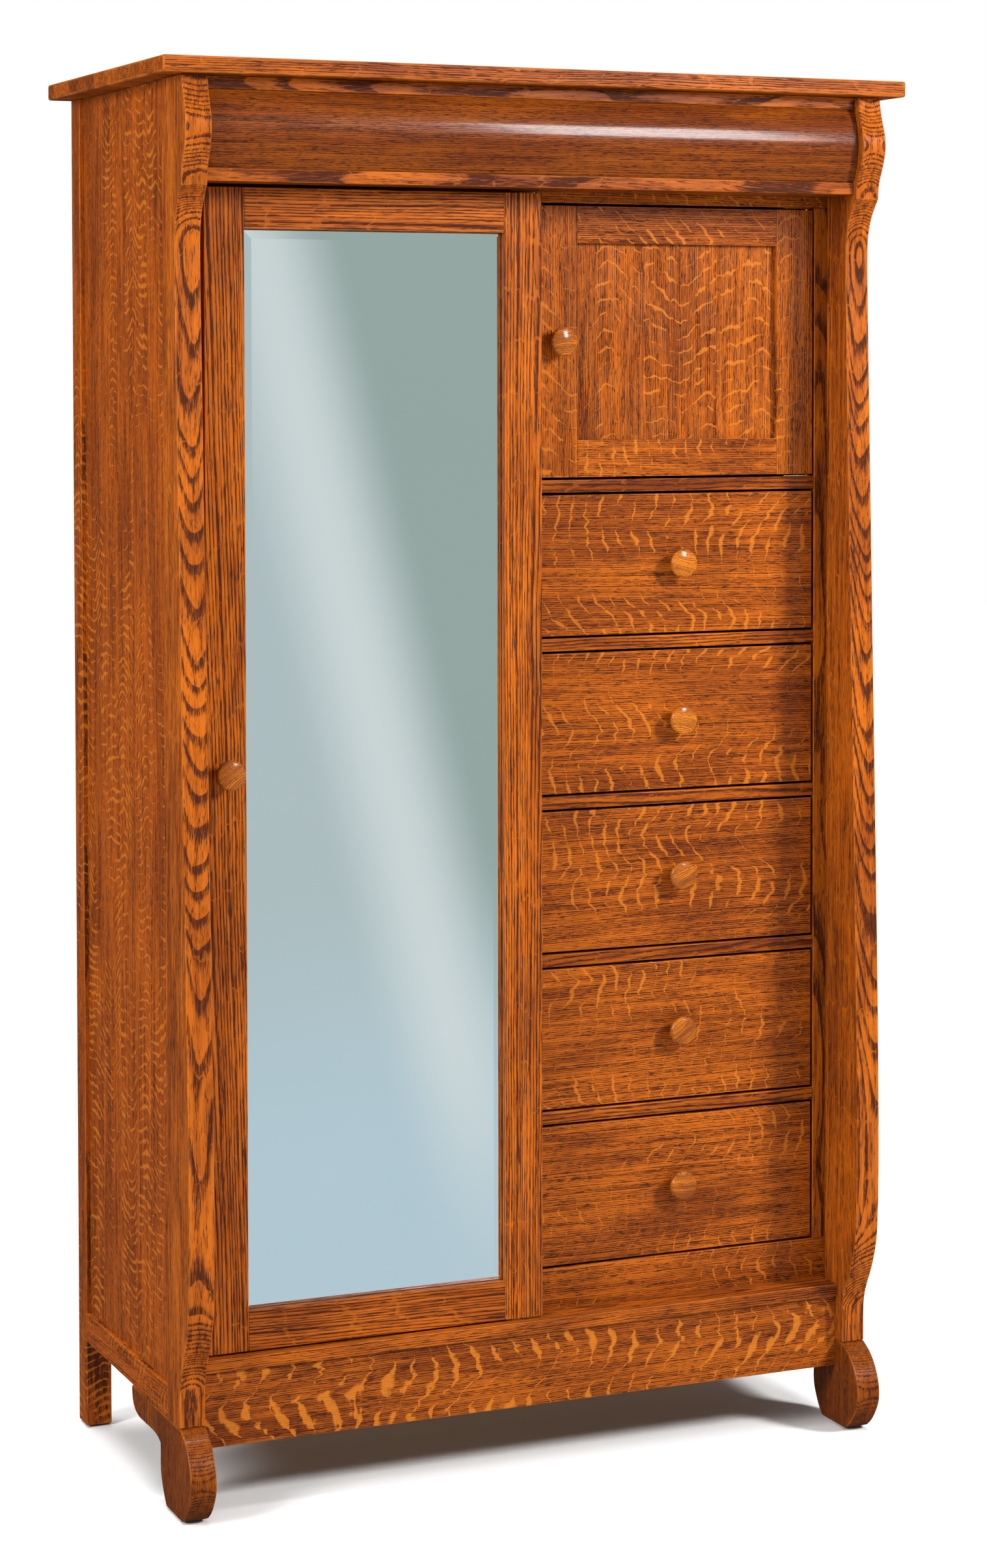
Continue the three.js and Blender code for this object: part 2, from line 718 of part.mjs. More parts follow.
function pivots() {
  const group = new THREE.Group();
  group.add(
    pivot("mirror_door_bottom_pivot", mirrorDoor, MIRROR_PIVOT, sillTop, 1, MIRROR_DOOR_BOTTOM_GAP),
    pivot("mirror_door_top_pivot", mirrorDoor, MIRROR_PIVOT, crownBottom, -1, MIRROR_DOOR_TOP_GAP),
    pivot("small_door_bottom_pivot", smallDoor, SMALL_PIVOT, compartmentFloor, 1, DOOR_GAP),
    pivot("small_door_top_pivot", smallDoor, SMALL_PIVOT, frameTop, -1, DOOR_GAP),
  );
  return group;
}

// ---------------------------------------------------------------- drawers
function buildDrawer(number) {
  const name = "drawer_" + number;
  const openingTop = compartmentFloor - SHELF_THICKNESS - (number - 1) * drawerPitch;
  const openingBottom = openingTop - drawerOpening;
  const [left, right] = [bayLeft + DRAWER_GAP, bayRight - DRAWER_GAP];
  const [bottom, top] = [openingBottom + DRAWER_GAP, openingTop - DRAWER_GAP];
  const frontBack = frameFront + DRAWER_FRONT_THICKNESS;
  const boxX = [bayLeft + DRAWER_SIDE_CLEARANCE, bayRight - DRAWER_SIDE_CLEARANCE];
  const boxY = [frontBack + FIT_GAP, backPanelFront - DRAWER_BACK_CLEARANCE];
  const boxZ = [openingBottom + DRAWER_LIFT, openingTop - DRAWER_TOP_CLEARANCE];
  const inset = ([low, high]) => [low + DRAWER_BOX_WALL, high - DRAWER_BOX_WALL];
  const hollowZ = [boxZ[0] + DRAWER_BOX_FLOOR, boxZ[1] + CUT_OVERLAP];
  const hollow = block("hollow", inset(boxX), inset(boxY), hollowZ);
  const group = new THREE.Group();
  group.add(
    block(name + "_front", [left, right], [frameFront, frontBack], [bottom, top]),
    cut(block(name + "_box", boxX, boxY, boxZ, liningOak), hollow),
    knob(name + "_knob", (left + right) / 2, frameFront, (bottom + top) / 2),
  );
  return group;
}

// ---------------------------------------------------------------- the whole armoire
const armoire = new THREE.Group();
armoire.add(sides(), carcass(), faceFrame(), inside(), pivots(), buildMirrorDoor(), buildSmallDoor());
for (let number = 1; number <= DRAWER_COUNT; number += 1) {
  armoire.add(buildDrawer(number));
}

export default armoire;
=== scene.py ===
"""A free-standing oak armoire: eased and grained boards, turned knobs, a bevelled mirror and its fittings.

Metres, +Z up, front towards -Y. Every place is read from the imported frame.
"""

import json
import math
import random

import bmesh
import bpy
import numpy as np
from mathutils import Matrix, Vector

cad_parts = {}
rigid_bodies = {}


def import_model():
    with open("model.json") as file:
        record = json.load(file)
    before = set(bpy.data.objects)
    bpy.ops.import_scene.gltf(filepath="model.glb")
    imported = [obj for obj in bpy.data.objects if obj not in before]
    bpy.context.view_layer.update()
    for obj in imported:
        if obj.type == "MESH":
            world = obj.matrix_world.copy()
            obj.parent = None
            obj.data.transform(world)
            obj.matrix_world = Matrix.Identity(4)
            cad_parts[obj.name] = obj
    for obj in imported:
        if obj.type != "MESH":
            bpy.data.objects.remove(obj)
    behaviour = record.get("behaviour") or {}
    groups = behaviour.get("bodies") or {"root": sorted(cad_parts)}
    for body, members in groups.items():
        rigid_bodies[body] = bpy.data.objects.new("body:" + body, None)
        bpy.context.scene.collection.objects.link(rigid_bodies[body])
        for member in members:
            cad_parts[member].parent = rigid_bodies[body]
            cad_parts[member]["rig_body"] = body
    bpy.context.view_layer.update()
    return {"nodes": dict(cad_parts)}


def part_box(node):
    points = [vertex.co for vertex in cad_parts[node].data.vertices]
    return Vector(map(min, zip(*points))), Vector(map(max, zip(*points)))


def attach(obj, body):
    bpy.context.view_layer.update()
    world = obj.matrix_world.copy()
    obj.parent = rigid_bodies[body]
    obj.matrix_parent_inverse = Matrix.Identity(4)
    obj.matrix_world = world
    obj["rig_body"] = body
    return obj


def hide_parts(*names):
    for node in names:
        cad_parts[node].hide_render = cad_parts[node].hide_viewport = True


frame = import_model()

bl_info = {
    "name": "Scroll Post Armoire",
    "version": (1, 0, 0),
    "blender": (4, 5, 0),
    "location": "3D View > Sidebar > Armoire",
    "description": "Builds the finished oak armoire round its packed frame",
    "category": "Object",
}

NODES = frame["nodes"]
X, Y, Z = 0, 1, 2
SHARP_CORNER = math.radians(30)
FLAT_CORNER = math.radians(0.2)
JOINT_CORNER = math.radians(60)
JOINT_EASE = 0.0003
MERGE = 1e-5

# How a board was sawn: where the tree's heart lies from the middle of the board, across its face and
# behind it, and how far the heart drifts across and behind per metre of length.
SAWN = {
    "plain": {"across": (-0.012, 0.012), "behind": (0.05, 0.07), "drift": (0.003, 0.012)},
    "slant": {"across": (0.05, 0.07), "behind": (0.05, 0.07), "drift": (0.01, 0.02)},
    "quartered": {"across": (0.14, 0.2), "behind": (-0.012, 0.012), "drift": (0.004, 0.012)},
}
TREE_LENGTH = 20
TONE_SPREAD = 0.3

# How often each pattern in the wood changes per metre: along the grain, across the heart and behind it.
RATES = {
    "sway": (2.2, 9, 9), "streak": (7, 150, 150), "fine": (24, 420, 420), "patch": (2, 9, 9),
    "jitter": (22, 75, 75), "break": (70, 30, 50), "region": (2, 13, 13), "cloud": (4, 16, 16),
}
YEAR_RATE = 90.0
PORE_RATE = 900.0

# The rod socket's profile: height from the wall, and how far past the rod's radius.
ROD_CUP = ((0.0002, 0.0015), (0.0002, 0.009), (0.0012, 0.01), (0.002, 0.009), (0.0028, 0.0035),
           (0.011, 0.003), (0.012, 0.0022), (0.012, 0.0012), (0.0008, 0.0008))

# How much of a dovetail's pitch is the pin, and how far it flares as a share of the wall.
PIN_SHARE, FLARE_SHARE = 0.32, 0.16

PIVOT_SCREW = {"Head Radius": 0.0026, "Head Height": 0.0005, "Slot Width": 0.0006}
BACK_SCREW = {"Head Radius": 0.0038, "Head Height": 0.0008, "Slot Width": 0.0009}
STRIP_SCREW = {"Head Radius": 0.0024, "Head Height": 0.0004, "Slot Width": 0.0005}

# Name, place, size, watts, whether it lights surfaces, and whether varnish and metal reflect it.
LIGHTS = (
    ("right front light", (2.7, -3.0, 2.9), (0.7, 1.1), 240, True, False),
    ("right front sheen", (1.9, -3.9, 2.9), (0.7, 1.1), 110, False, True),
    ("left side light", (-4.0, -1.6, 2.6), (1.4, 2.0), 190, True, True),
)
LIT_POINT = Vector((0, -0.1, 0.95))


# ---------------------------------------------------------------- settings
class ARMOIRE_PG_Joinery(bpy.types.PropertyGroup):
    """Sizes of the eased edges and of the small parts."""

    board_edge: bpy.props.FloatProperty(
        name="Board Edge", description="Radius of an ordinary board's edges", default=0.0012,
        min=0.0002, max=0.003, unit="LENGTH", subtype="DISTANCE")
    slab_edge: bpy.props.FloatProperty(
        name="Slab Edge", description="Radius of the top slab's edges", default=0.003,
        min=0.001, max=0.006, unit="LENGTH", subtype="DISTANCE")
    post_edge: bpy.props.FloatProperty(
        name="Post Edge", description="Radius of the scroll-cut edges", default=0.0018,
        min=0.0005, max=0.004, unit="LENGTH", subtype="DISTANCE")
    joint_edge: bpy.props.FloatProperty(
        name="Joint Edge", description="Radius where two boards meet flush", default=0.0003,
        min=0.0001, max=0.001, unit="LENGTH", subtype="DISTANCE")
    partition_thickness: bpy.props.FloatProperty(
        name="Partition Thickness", description="Thickness of the upright partition", default=0.0185,
        min=0.006, max=0.03, unit="LENGTH", subtype="DISTANCE")
    mirror_bevel: bpy.props.FloatProperty(
        name="Mirror Bevel", description="Width of the mirror's ground border", default=0.0127,
        min=0.005, max=0.03, unit="LENGTH", subtype="DISTANCE")
    glide_height: bpy.props.FloatProperty(
        name="Glide Height", description="Thickness of the glides under the feet", default=0.003,
        min=0.001, max=0.006, unit="LENGTH", subtype="DISTANCE")
    dovetails: bpy.props.IntProperty(
        name="Dovetails", description="Dovetails at each corner of a drawer box", default=4, min=2, max=8)


class ARMOIRE_PG_Finish(bpy.types.PropertyGroup):
    """Colours of the stained oak."""

    ground: bpy.props.FloatVectorProperty(
        name="Ground", description="Stained wood between the pores", subtype="COLOR", size=3,
        default=(0.47, 0.109, 0.006), min=0, max=1)
    deep: bpy.props.FloatVectorProperty(
        name="Deep", description="Darker patches of the stain", subtype="COLOR", size=3,
        default=(0.17, 0.032, 0.004), min=0, max=1)
    pore: bpy.props.FloatVectorProperty(
        name="Pore", description="Glaze left in the pores", subtype="COLOR", size=3,
        default=(0.040, 0.0085, 0.003), min=0, max=1)
    fleck: bpy.props.FloatVectorProperty(
        name="Fleck", description="Ray flecks on quartered faces", subtype="COLOR", size=3,
        default=(0.56, 0.165, 0.015), min=0, max=1)


class ARMOIRE_PG_Studio(bpy.types.PropertyGroup):
    """Where the camera stands and how it looks."""

    camera_place: bpy.props.FloatVectorProperty(
        name="Camera Place", description="Where the camera stands", subtype="TRANSLATION", size=3,
        default=(-1.8366, -4.549, 1.5185))
    camera_turn: bpy.props.FloatProperty(
        name="Camera Turn", description="Heading, from +Y towards +X", subtype="ANGLE",
        default=math.radians(24.297))
    camera_dip: bpy.props.FloatProperty(
        name="Camera Dip", description="How far the camera looks down", subtype="ANGLE",
        default=math.radians(2.339))
    lens: bpy.props.FloatProperty(
        name="Lens", description="Focal length in millimetres", default=79.988, min=20, max=200)
    shift: bpy.props.FloatVectorProperty(
        name="Shift", description="Lens shift across and up", size=2, default=(-0.0776, -0.18))


# ---------------------------------------------------------------- node helpers
def fill(tree, node, inputs):
    """Links each input that is given a socket, and sets each that is given a value."""
    for key, value in inputs.items():
        if isinstance(value, bpy.types.NodeSocket):
            tree.links.new(value, node.inputs[key])
        else:
            node.inputs[key].default_value = value


def wired(tree, kind, inputs=None, **settings):
    """Adds a node, sets its properties and fills its inputs."""
    node = tree.nodes.new(kind)
    for key, value in settings.items():
        setattr(node, key, value)
    fill(tree, node, inputs or {})
    return node


def maths(tree, operation, first, second=0.0, clamp=False):
    node = wired(tree, "ShaderNodeMath", {0: first, 1: second}, operation=operation, use_clamp=clamp)
    return node.outputs[0]


def plus(tree, first, second, clamp=False):
    return maths(tree, "ADD", first, second, clamp)


def minus(tree, first, second):
    return maths(tree, "SUBTRACT", first, second)


def times(tree, first, second):
    return maths(tree, "MULTIPLY", first, second)


def over(tree, first, second):
    return maths(tree, "DIVIDE", first, second)


def vectors(tree, operation, first, second):
    """Arithmetic on vectors; for SCALE the second is a number."""
    key = "Scale" if operation == "SCALE" else 1
    return wired(tree, "ShaderNodeVectorMath", {0: first, key: second}, operation=operation).outputs[0]


def vector_of(tree, parts):
    return wired(tree, "ShaderNodeCombineXYZ", parts).outputs[0]


def own_place(tree):
    return wired(tree, "ShaderNodeTexCoord").outputs["Object"]


def noise(tree, vector, detail=2.0, roughness=0.5, output=0):
    inputs = {"Vector": vector, "Scale": 1.0, "Detail": detail, "Roughness": roughness}
    return wired(tree, "ShaderNodeTexNoise", inputs).outputs[output]


def pattern(tree, place, name, detail=2.0, roughness=0.5, output=0):
    """Noise that changes at one of the wood's rates."""
    return noise(tree, vectors(tree, "MULTIPLY", place, RATES[name]), detail, roughness, output)


def mottle(tree, rate, detail=2.0, roughness=0.5):
    """Noise that changes evenly over a piece's own coordinates."""
    place = vectors(tree, "MULTIPLY", own_place(tree), (rate, rate, rate))
    return noise(tree, place, detail, roughness)


def smooth(tree, value, low, high, to_low=0.0, to_high=1.0):
    inputs = {0: value, 1: low, 2: high, 3: to_low, 4: to_high}
    return wired(tree, "ShaderNodeMapRange", inputs, interpolation_type="SMOOTHSTEP").outputs[0]


def blended(tree, factor, first, second):
    return wired(tree, "ShaderNodeMix", {0: factor, 6: first, 7: second}, data_type="RGBA").outputs[2]


def opaque(colour, share=1.0):
    return (*[c * share for c in colour], 1)


def relief(tree, shader, height, strength, depth):
    """Gives the shader's surface its height."""
    bump = wired(tree, "ShaderNodeBump", {"Strength": strength, "Distance": depth, "Height": height})
    fill(tree, shader, {"Normal": bump.outputs[0]})


def attribute(tree, name, output="Fac"):
    return wired(tree, "ShaderNodeAttribute", attribute_name=name).outputs[output]


def new_group(name, inputs, outputs):
    """A shader node group with its sockets: the tree, what it is given, and its output node."""
    tree = bpy.data.node_groups.new(name, "ShaderNodeTree")
    for label, kind, default in inputs:
        socket = tree.interface.new_socket(label, in_out="INPUT", socket_type="NodeSocket" + kind)
        if default is not None:
            socket.default_value = default
    for label, kind in outputs:
        tree.interface.new_socket(label, in_out="OUTPUT", socket_type="NodeSocket" + kind)
    return tree, tree.nodes.new("NodeGroupInput").outputs, tree.nodes.new("NodeGroupOutput")


def placed_group(tree, group, inputs):
    return wired(tree, "ShaderNodeGroup", inputs, node_tree=bpy.data.node_groups[group]).outputs


# ---------------------------------------------------------------- shader groups
def figure_group():
    """Growth rings, pores and ray flecks from a board's place in its tree."""
    tree, given, made = new_group(
        "oak figure",
        [("Board", "Vector", None), ("Ring Width", "Float", 0.003), ("Wander", "Float", 0.02),
         ("Pore Length", "Float", 0.02), ("Fleck Spacing", "Float", 0.02), ("Fleck Width", "Float", 0.2)],
        [("Rings", "Float"), ("Pores", "Float"), ("Flecks", "Float"), ("Cloud", "Float")],
    )
    board, spacing = given["Board"], given["Fleck Spacing"]
    centred = vectors(tree, "SUBTRACT", pattern(tree, board, "sway", 2.5, output="Color"), (0.5, 0.5, 0.5))
    swayed = vectors(tree, "ADD", board, vectors(tree, "SCALE", centred, given["Wander"]))
    along, across, behind = wired(tree, "ShaderNodeSeparateXYZ", {0: swayed}).outputs
    radius = maths(tree, "SQRT", plus(tree, times(tree, across, across), times(tree, behind, behind)))

    # A year's growth starts with the open early wood and closes slowly; some years are wider.
    year_gain, opening, closing = 3.0, (0.0, 0.08), (0.14, 0.6)
    growth = noise(tree, vector_of(tree, {0: times(tree, radius, YEAR_RATE)}), 1.0)
    years = plus(tree, over(tree, radius, given["Ring Width"]), times(tree, growth, year_gain))
    season = maths(tree, "FRACT", years)
    early = times(tree, smooth(tree, season, *opening), smooth(tree, season, *closing, 1.0, 0.0))

    # Pores are short dashes along the grain, crowded in the early wood.
    late_limit, early_limit, soften, streak_share = 0.735, 0.565, 0.09, 0.35
    dashes = vector_of(tree, {0: over(tree, 1.0, given["Pore Length"]), 1: PORE_RATE, 2: PORE_RATE})
    dots = noise(tree, vectors(tree, "MULTIPLY", swayed, dashes), 2.0, 0.6)
    streak = pattern(tree, swayed, "streak")
    dots = plus(tree, dots, times(tree, streak, streak_share))
    limit = smooth(tree, early, 0.0, 1.0, late_limit, early_limit)
    pores = smooth(tree, minus(tree, dots, limit), 0.0, soften)

    # Flecks are contours that cross the grain in wavering rows, broken up and gathered in regions.
    row_gap, patch_share, jitter_share = 1.5, 0.12, 0.9
    rows = over(tree, along, times(tree, spacing, row_gap))
    wave = times(tree, pattern(tree, board, "patch", 1.0), over(tree, patch_share, spacing))
    wave = plus(tree, wave, times(tree, pattern(tree, swayed, "jitter"), jitter_share))
    ridge = maths(tree, "ABSOLUTE", minus(tree, maths(tree, "FRACT", plus(tree, wave, rows)), 0.5))
    broken = smooth(tree, pattern(tree, board, "break"), 0.4, 0.62, 0.05, 1.4)
    gathered = smooth(tree, pattern(tree, board, "region", 1.0), 0.43, 0.62, 0.12, 1.2)
    width = times(tree, times(tree, given["Fleck Width"], broken), gathered)
    flecks = smooth(tree, over(tree, ridge, width), 0.4, 1.0, 1.0, 0.0)
    pores_hidden, cloud_streak, cloud_fine = 0.75, 0.6, 0.5
    open_pores = times(tree, pores, minus(tree, 1.0, times(tree, flecks, pores_hidden)))

    cloud = pattern(tree, board, "cloud", 3.0, 0.55)
    fine = pattern(tree, swayed, "fine")
    cloud = plus(tree, cloud, plus(tree, times(tree, streak, cloud_streak), times(tree, fine, cloud_fine)))
    fill(tree, made, {"Rings": early, "Pores": open_pores, "Flecks": flecks,
                      "Cloud": smooth(tree, cloud, 0.8, 1.3)})


def stain_group():
    """The stain's colour, the satin's unevenness and the surface height over a figure."""
    tree, given, made = new_group(
        "oak stain",
        [("Rings", "Float", 0), ("Pores", "Float", 0), ("Flecks", "Float", 0), ("Cloud", "Float", 0),
         ("Tone", "Float", 0), ("Ring Depth", "Float", 0.5), ("Fleck Show", "Float", 0.8),
         ("Ground", "Color", (1, 1, 1, 1)), ("Deep", "Color", (1, 1, 1, 1)),
         ("Pore", "Color", (0, 0, 0, 1)), ("Fleck", "Color", (1, 1, 1, 1))],
        [("Color", "Color"), ("Roughness", "Float"), ("Height", "Float")],
    )
    cloud_share, tone_share, glaze = 0.75, 0.5, 0.86
    shade = plus(tree, times(tree, given["Cloud"], cloud_share), times(tree, given["Tone"], tone_share))
    shade = plus(tree, shade, times(tree, given["Rings"], given["Ring Depth"]), clamp=True)
    body = blended(tree, shade, given["Ground"], given["Deep"])
    body = blended(tree, times(tree, given["Flecks"], given["Fleck Show"]), body, given["Fleck"])
    body = blended(tree, times(tree, given["Pores"], glaze), body, given["Pore"])
    satin, pore_dull, fleck_shine, fleck_rise = 0.34, 0.22, 0.05, 0.2
    rough = plus(tree, satin, times(tree, given["Pores"], pore_dull))
    rough = minus(tree, rough, times(tree, given["Flecks"], fleck_shine))
    height = minus(tree, times(tree, given["Flecks"], fleck_rise), given["Pores"])
    fill(tree, made, {"Color": body, "Roughness": rough, "Height": height})


def edge_group():
    """A lighter colour along the eased edges: partly rubbed wear, partly a painted highlight where the edges
    catch the light.
    """
    tree, given, made = new_group(
        "rubbed edge and painted highlight",
        [("Color", "Color", (1, 1, 1, 1)), ("Eased", "Float", 0), ("Rub", "Color", (1, 1, 1, 1)),
         ("Amount", "Float", 0.4)],
        [("Color", "Color")],
    )
    uneven = smooth(tree, mottle(tree, 18, 3.0), 0.3, 0.65)
    amount = times(tree, times(tree, given["Eased"], given["Amount"]), uneven)
    fill(tree, made, {"Color": blended(tree, amount, given["Color"], given["Rub"])})


# ---------------------------------------------------------------- materials
def material(name):
    """A new material's node tree and its shader."""
    made = bpy.data.materials.new(name)
    made.use_nodes = True
    return made.node_tree, made.node_tree.nodes["Principled BSDF"]


def oak(name, colours, figure, stain, coat=0.06, rub_and_highlight=0.35):
    """Varnished oak; figure and stain are the two groups' own values, in the order of their sockets."""
    pore_bump, pore_depth, coat_rough, shine = 0.45, 0.0004, 0.12, 0.12
    tree, shader = material(name)
    labels = ("Ring Width", "Wander", "Pore Length", "Fleck Spacing", "Fleck Width")
    shape = placed_group(tree, "oak figure", {
        "Board": attribute(tree, "board", "Vector"), **dict(zip(labels, figure))})
    values = {key: shape[key] for key in ("Rings", "Pores", "Flecks", "Cloud")}
    values["Tone"] = attribute(tree, "tone")
    values["Ring Depth"], values["Fleck Show"] = stain
    values.update((label, opaque(colour)) for label, colour in colours.items())
    surface = placed_group(tree, "oak stain", values)
    # The eased edges are lightened: partly rubbed wear, partly a painted highlight.
    edge = placed_group(tree, "rubbed edge and painted highlight", {
        "Color": surface["Color"], "Eased": attribute(tree, "eased"), "Rub": opaque(colours["Fleck"]),
        "Amount": rub_and_highlight})
    relief(tree, shader, surface["Height"], pore_bump, pore_depth)
    fill(tree, shader, {
        "Base Color": edge["Color"], "Roughness": surface["Roughness"], "Coat Weight": coat,
        "Coat Roughness": coat_rough, "Specular IOR Level": shine})


def tinted(colours, ground=1.0, red=1.0, deep=1.0):
    """The finish's colours, with the ground and the deep stain made lighter or redder."""
    changed = dict(colours)
    changed["Ground"] = tuple(min(1.0, c * ground * (1.0 if i == 0 else 1 / red))
                              for i, c in enumerate(colours["Ground"]))
    changed["Deep"] = tuple(min(1.0, c * deep) for c in colours["Deep"])
    return changed


def metal(name, colour, roughness):
    """Metal with fine smudges."""
    smudge_rate, smudge_shade, smudge_dull = 260, 0.6, 0.2
    tree, shader = material(name)
    smudge = mottle(tree, smudge_rate, 3.0)
    dull = blended(tree, smooth(tree, smudge, 0.45, 0.8), opaque(colour), opaque(colour, smudge_shade))
    rough = smooth(tree, smudge, 0.3, 0.8, roughness, roughness + smudge_dull)
    fill(tree, shader, {"Base Color": dull, "Roughness": rough, "Metallic": 1.0})


def speckled(name, colour, roughness, rate):
    """A pressed or moulded surface with fine mottling."""
    shade, unevenness = 0.72, 0.08
    tree, shader = material(name)
    grain = mottle(tree, rate, 4.0, 0.6)
    rough = smooth(tree, grain, 0.2, 0.8, roughness - unevenness, roughness + unevenness)
    fill(tree, shader, {"Base Color": blended(tree, grain, opaque(colour, shade), opaque(colour)),
                        "Roughness": rough})
    relief(tree, shader, grain, 0.2, 0.0002)


def silvered():
    """The mirror: silver behind slightly green glass."""
    tree, shader = material("silvered mirror")
    colour = blended(tree, mottle(tree, 3), (0.80, 0.855, 0.85, 1), (0.85, 0.89, 0.885, 1))
    fill(tree, shader, {"Base Color": colour, "Roughness": 0.0, "Metallic": 1.0})


def make_materials(finish):
    figure_group()
    stain_group()
    edge_group()
    stained = {"Ground": finish.ground, "Deep": finish.deep, "Pore": finish.pore, "Fleck": finish.fleck}
    lining = {"Ground": (0.60, 0.36, 0.15), "Deep": (0.42, 0.22, 0.08), "Pore": (0.16, 0.08, 0.03),
              "Fleck": (0.72, 0.48, 0.24)}
    turned = {**tinted(stained, 1.3, 0.8), "Pore": (0.17, 0.05, 0.018)}
    # Name, colours, (ring width, wander, pore length, fleck spacing, fleck width), (ring depth, fleck show).
    oak("oak plain sawn", tinted(stained, 1.05), (0.0022, 0.015, 0.02, 0.05, 0.05), (0.45, 0.15))
    oak("oak quartered", tinted(stained), (0.0026, 0.012, 0.013, 0.016, 0.12), (0.4, 0.7))
    oak("oak rift", tinted(stained, 1.1), (0.003, 0.008, 0.03, 0.05, 0.05), (0.5, 0.15))
    oak("oak bold fleck", tinted(stained), (0.0026, 0.012, 0.013, 0.02, 0.24), (0.3, 0.9))
    oak("oak crown", tinted(stained, 0.55, 1.0, 0.8), (0.0024, 0.008, 0.012, 0.05, 0.05), (0.3, 0.0),
        coat=0.3)
    oak("oak side", tinted(stained, 0.9, 1.12), (0.0026, 0.012, 0.013, 0.009, 0.2), (0.3, 0.55))
    oak("oak knob", turned, (0.0016, 0.015, 0.004, 0.05, 0.05), (0.35, 0.1), coat=0.4, rub_and_highlight=0.0)
    oak("oak lining", lining, (0.0022, 0.015, 0.02, 0.05, 0.05), (0.4, 0.2), coat=0.1, rub_and_highlight=0.1)
    metal("brushed brass", (0.62, 0.42, 0.16), 0.28)
    metal("zinc screw", (0.52, 0.52, 0.5), 0.35)
    speckled("hardboard", (0.19, 0.10, 0.05), 0.75, 900)
    speckled("black nylon", (0.02, 0.018, 0.016), 0.45, 500)
    silvered()


# ---------------------------------------------------------------- board making
def linked(name, data):
    """A new object in the scene."""
    made = bpy.data.objects.new(name, data)
    bpy.context.scene.collection.objects.link(made)
    return made


def mesh_from(shape, name):
    """The shape as a new mesh; the shape is freed."""
    mesh = bpy.data.meshes.new(name)
    shape.to_mesh(mesh)
    shape.free()
    return mesh


def settle(piece):
    """Puts a plain mesh in the place of the piece's own mesh and modifiers."""
    source = piece.data
    plain = bpy.data.meshes.new_from_object(
        piece.evaluated_get(bpy.context.evaluated_depsgraph_get()))
    piece.modifiers.clear()
    piece.data = plain
    bpy.data.meshes.remove(source)
    plain.name = piece.name


def clean_copy(node):
    """A node's shape with its doubles merged and its flat faces whole."""
    shape = bmesh.new()
    shape.from_mesh(NODES[node].data)
    bmesh.ops.remove_doubles(shape, verts=shape.verts, dist=MERGE)
    bmesh.ops.dissolve_limit(shape, angle_limit=FLAT_CORNER, verts=shape.verts, edges=shape.edges)
    return shape


def box_shape(low, high):
    """A plain block between two corners, ready for its edges to be eased."""
    shape = bmesh.new()
    low, high = Vector(low), Vector(high)
    place = Matrix.Translation((low + high) / 2) @ Matrix.Diagonal((*(high - low), 1))
    bmesh.ops.create_cube(shape, size=1, matrix=place)
    return shape


def outline_shape(outline, axis, low, high):
    """A flat outline, given on the two other axes in order, given thickness along an axis."""
    shape = bmesh.new()
    others = [a for a in (X, Y, Z) if a != axis]
    corners = []
    for pair in outline:
        place = [low] * 3
        place[others[0]], place[others[1]] = pair
        corners.append(shape.verts.new(place))
    face = shape.faces.new(corners)
    swept = bmesh.ops.extrude_face_region(shape, geom=[face])["geom"]
    move = [0.0] * 3
    move[axis] = high - low
    bmesh.ops.translate(shape, verts=[g for g in swept if isinstance(g, bmesh.types.BMVert)], vec=move)
    bmesh.ops.recalc_face_normals(shape, faces=shape.faces)
    return shape


def lathed(profile, centre, axis, steps=64):
    """A turned shape from (height, radius) pairs; height runs along the axis from the centre."""
    shape = bmesh.new()
    axis = Vector(axis)
    side = axis.orthogonal().normalized()
    ring = [shape.verts.new(Vector(centre) + axis * h + side * r) for h, r in profile]
    edges = [shape.edges.new(pair) for pair in zip(ring, ring[1:])]
    bmesh.ops.spin(shape, geom=ring + edges, cent=centre, axis=axis, angle=2 * math.pi, steps=steps)
    bmesh.ops.remove_doubles(shape, verts=shape.verts, dist=MERGE)
    bmesh.ops.recalc_face_normals(shape, faces=shape.faces)
    return shape


def split_at(shape, axis, places):
    """Adds an edge loop at each glue joint, without parting the shape."""
    for place in places:
        point, normal = [0.0] * 3, [0.0] * 3
        point[axis], normal[axis] = place, 1.0
        everything = shape.verts[:] + shape.edges[:] + shape.faces[:]
        bmesh.ops.bisect_plane(shape, geom=everything, dist=MERGE, plane_co=point, plane_no=normal)


def ease(shape, radius, at_joint=None, segments=3):
    """Rounds the sharp edges; an edge for which at_joint(edge) is true gets the small radius."""
    mark = shape.faces.layers.float.new("eased")
    sharp = [e for e in shape.edges if e.is_manifold and e.calc_face_angle() > SHARP_CORNER]
    wide = [e for e in sharp if not (at_joint and at_joint(e))]
    rounding = {"offset_type": "OFFSET", "profile": 0.5, "affect": "EDGES", "clamp_overlap": True}
    if wide:
        made = bmesh.ops.bevel(shape, geom=wide, offset=radius, segments=segments, **rounding)
        for face in made["faces"]:
            face[mark] = 1.0
    if at_joint:
        left = [e for e in shape.edges
                if e.is_manifold and at_joint(e) and e.calc_face_angle() > JOINT_CORNER]
        if left:
            bmesh.ops.bevel(shape, geom=left, offset=JOINT_EASE, segments=1, **rounding)


def at_ends(shape, axis):
    """A test that is true for an edge in the planes that end the shape along an axis."""
    reach = 5e-4
    low = min(v.co[axis] for v in shape.verts)
    high = max(v.co[axis] for v in shape.verts)

    def test(edge):
        return any(all(abs(v.co[axis] - end) < reach for v in edge.verts) for end in (low, high))
    return test


def read_all(items, name, kind=float, size=1):
    """One property of all items, as an array."""
    values = np.empty(len(items) * size, kind)
    items.foreach_get(name, values)
    return values.reshape(-1, size) if size > 1 else values


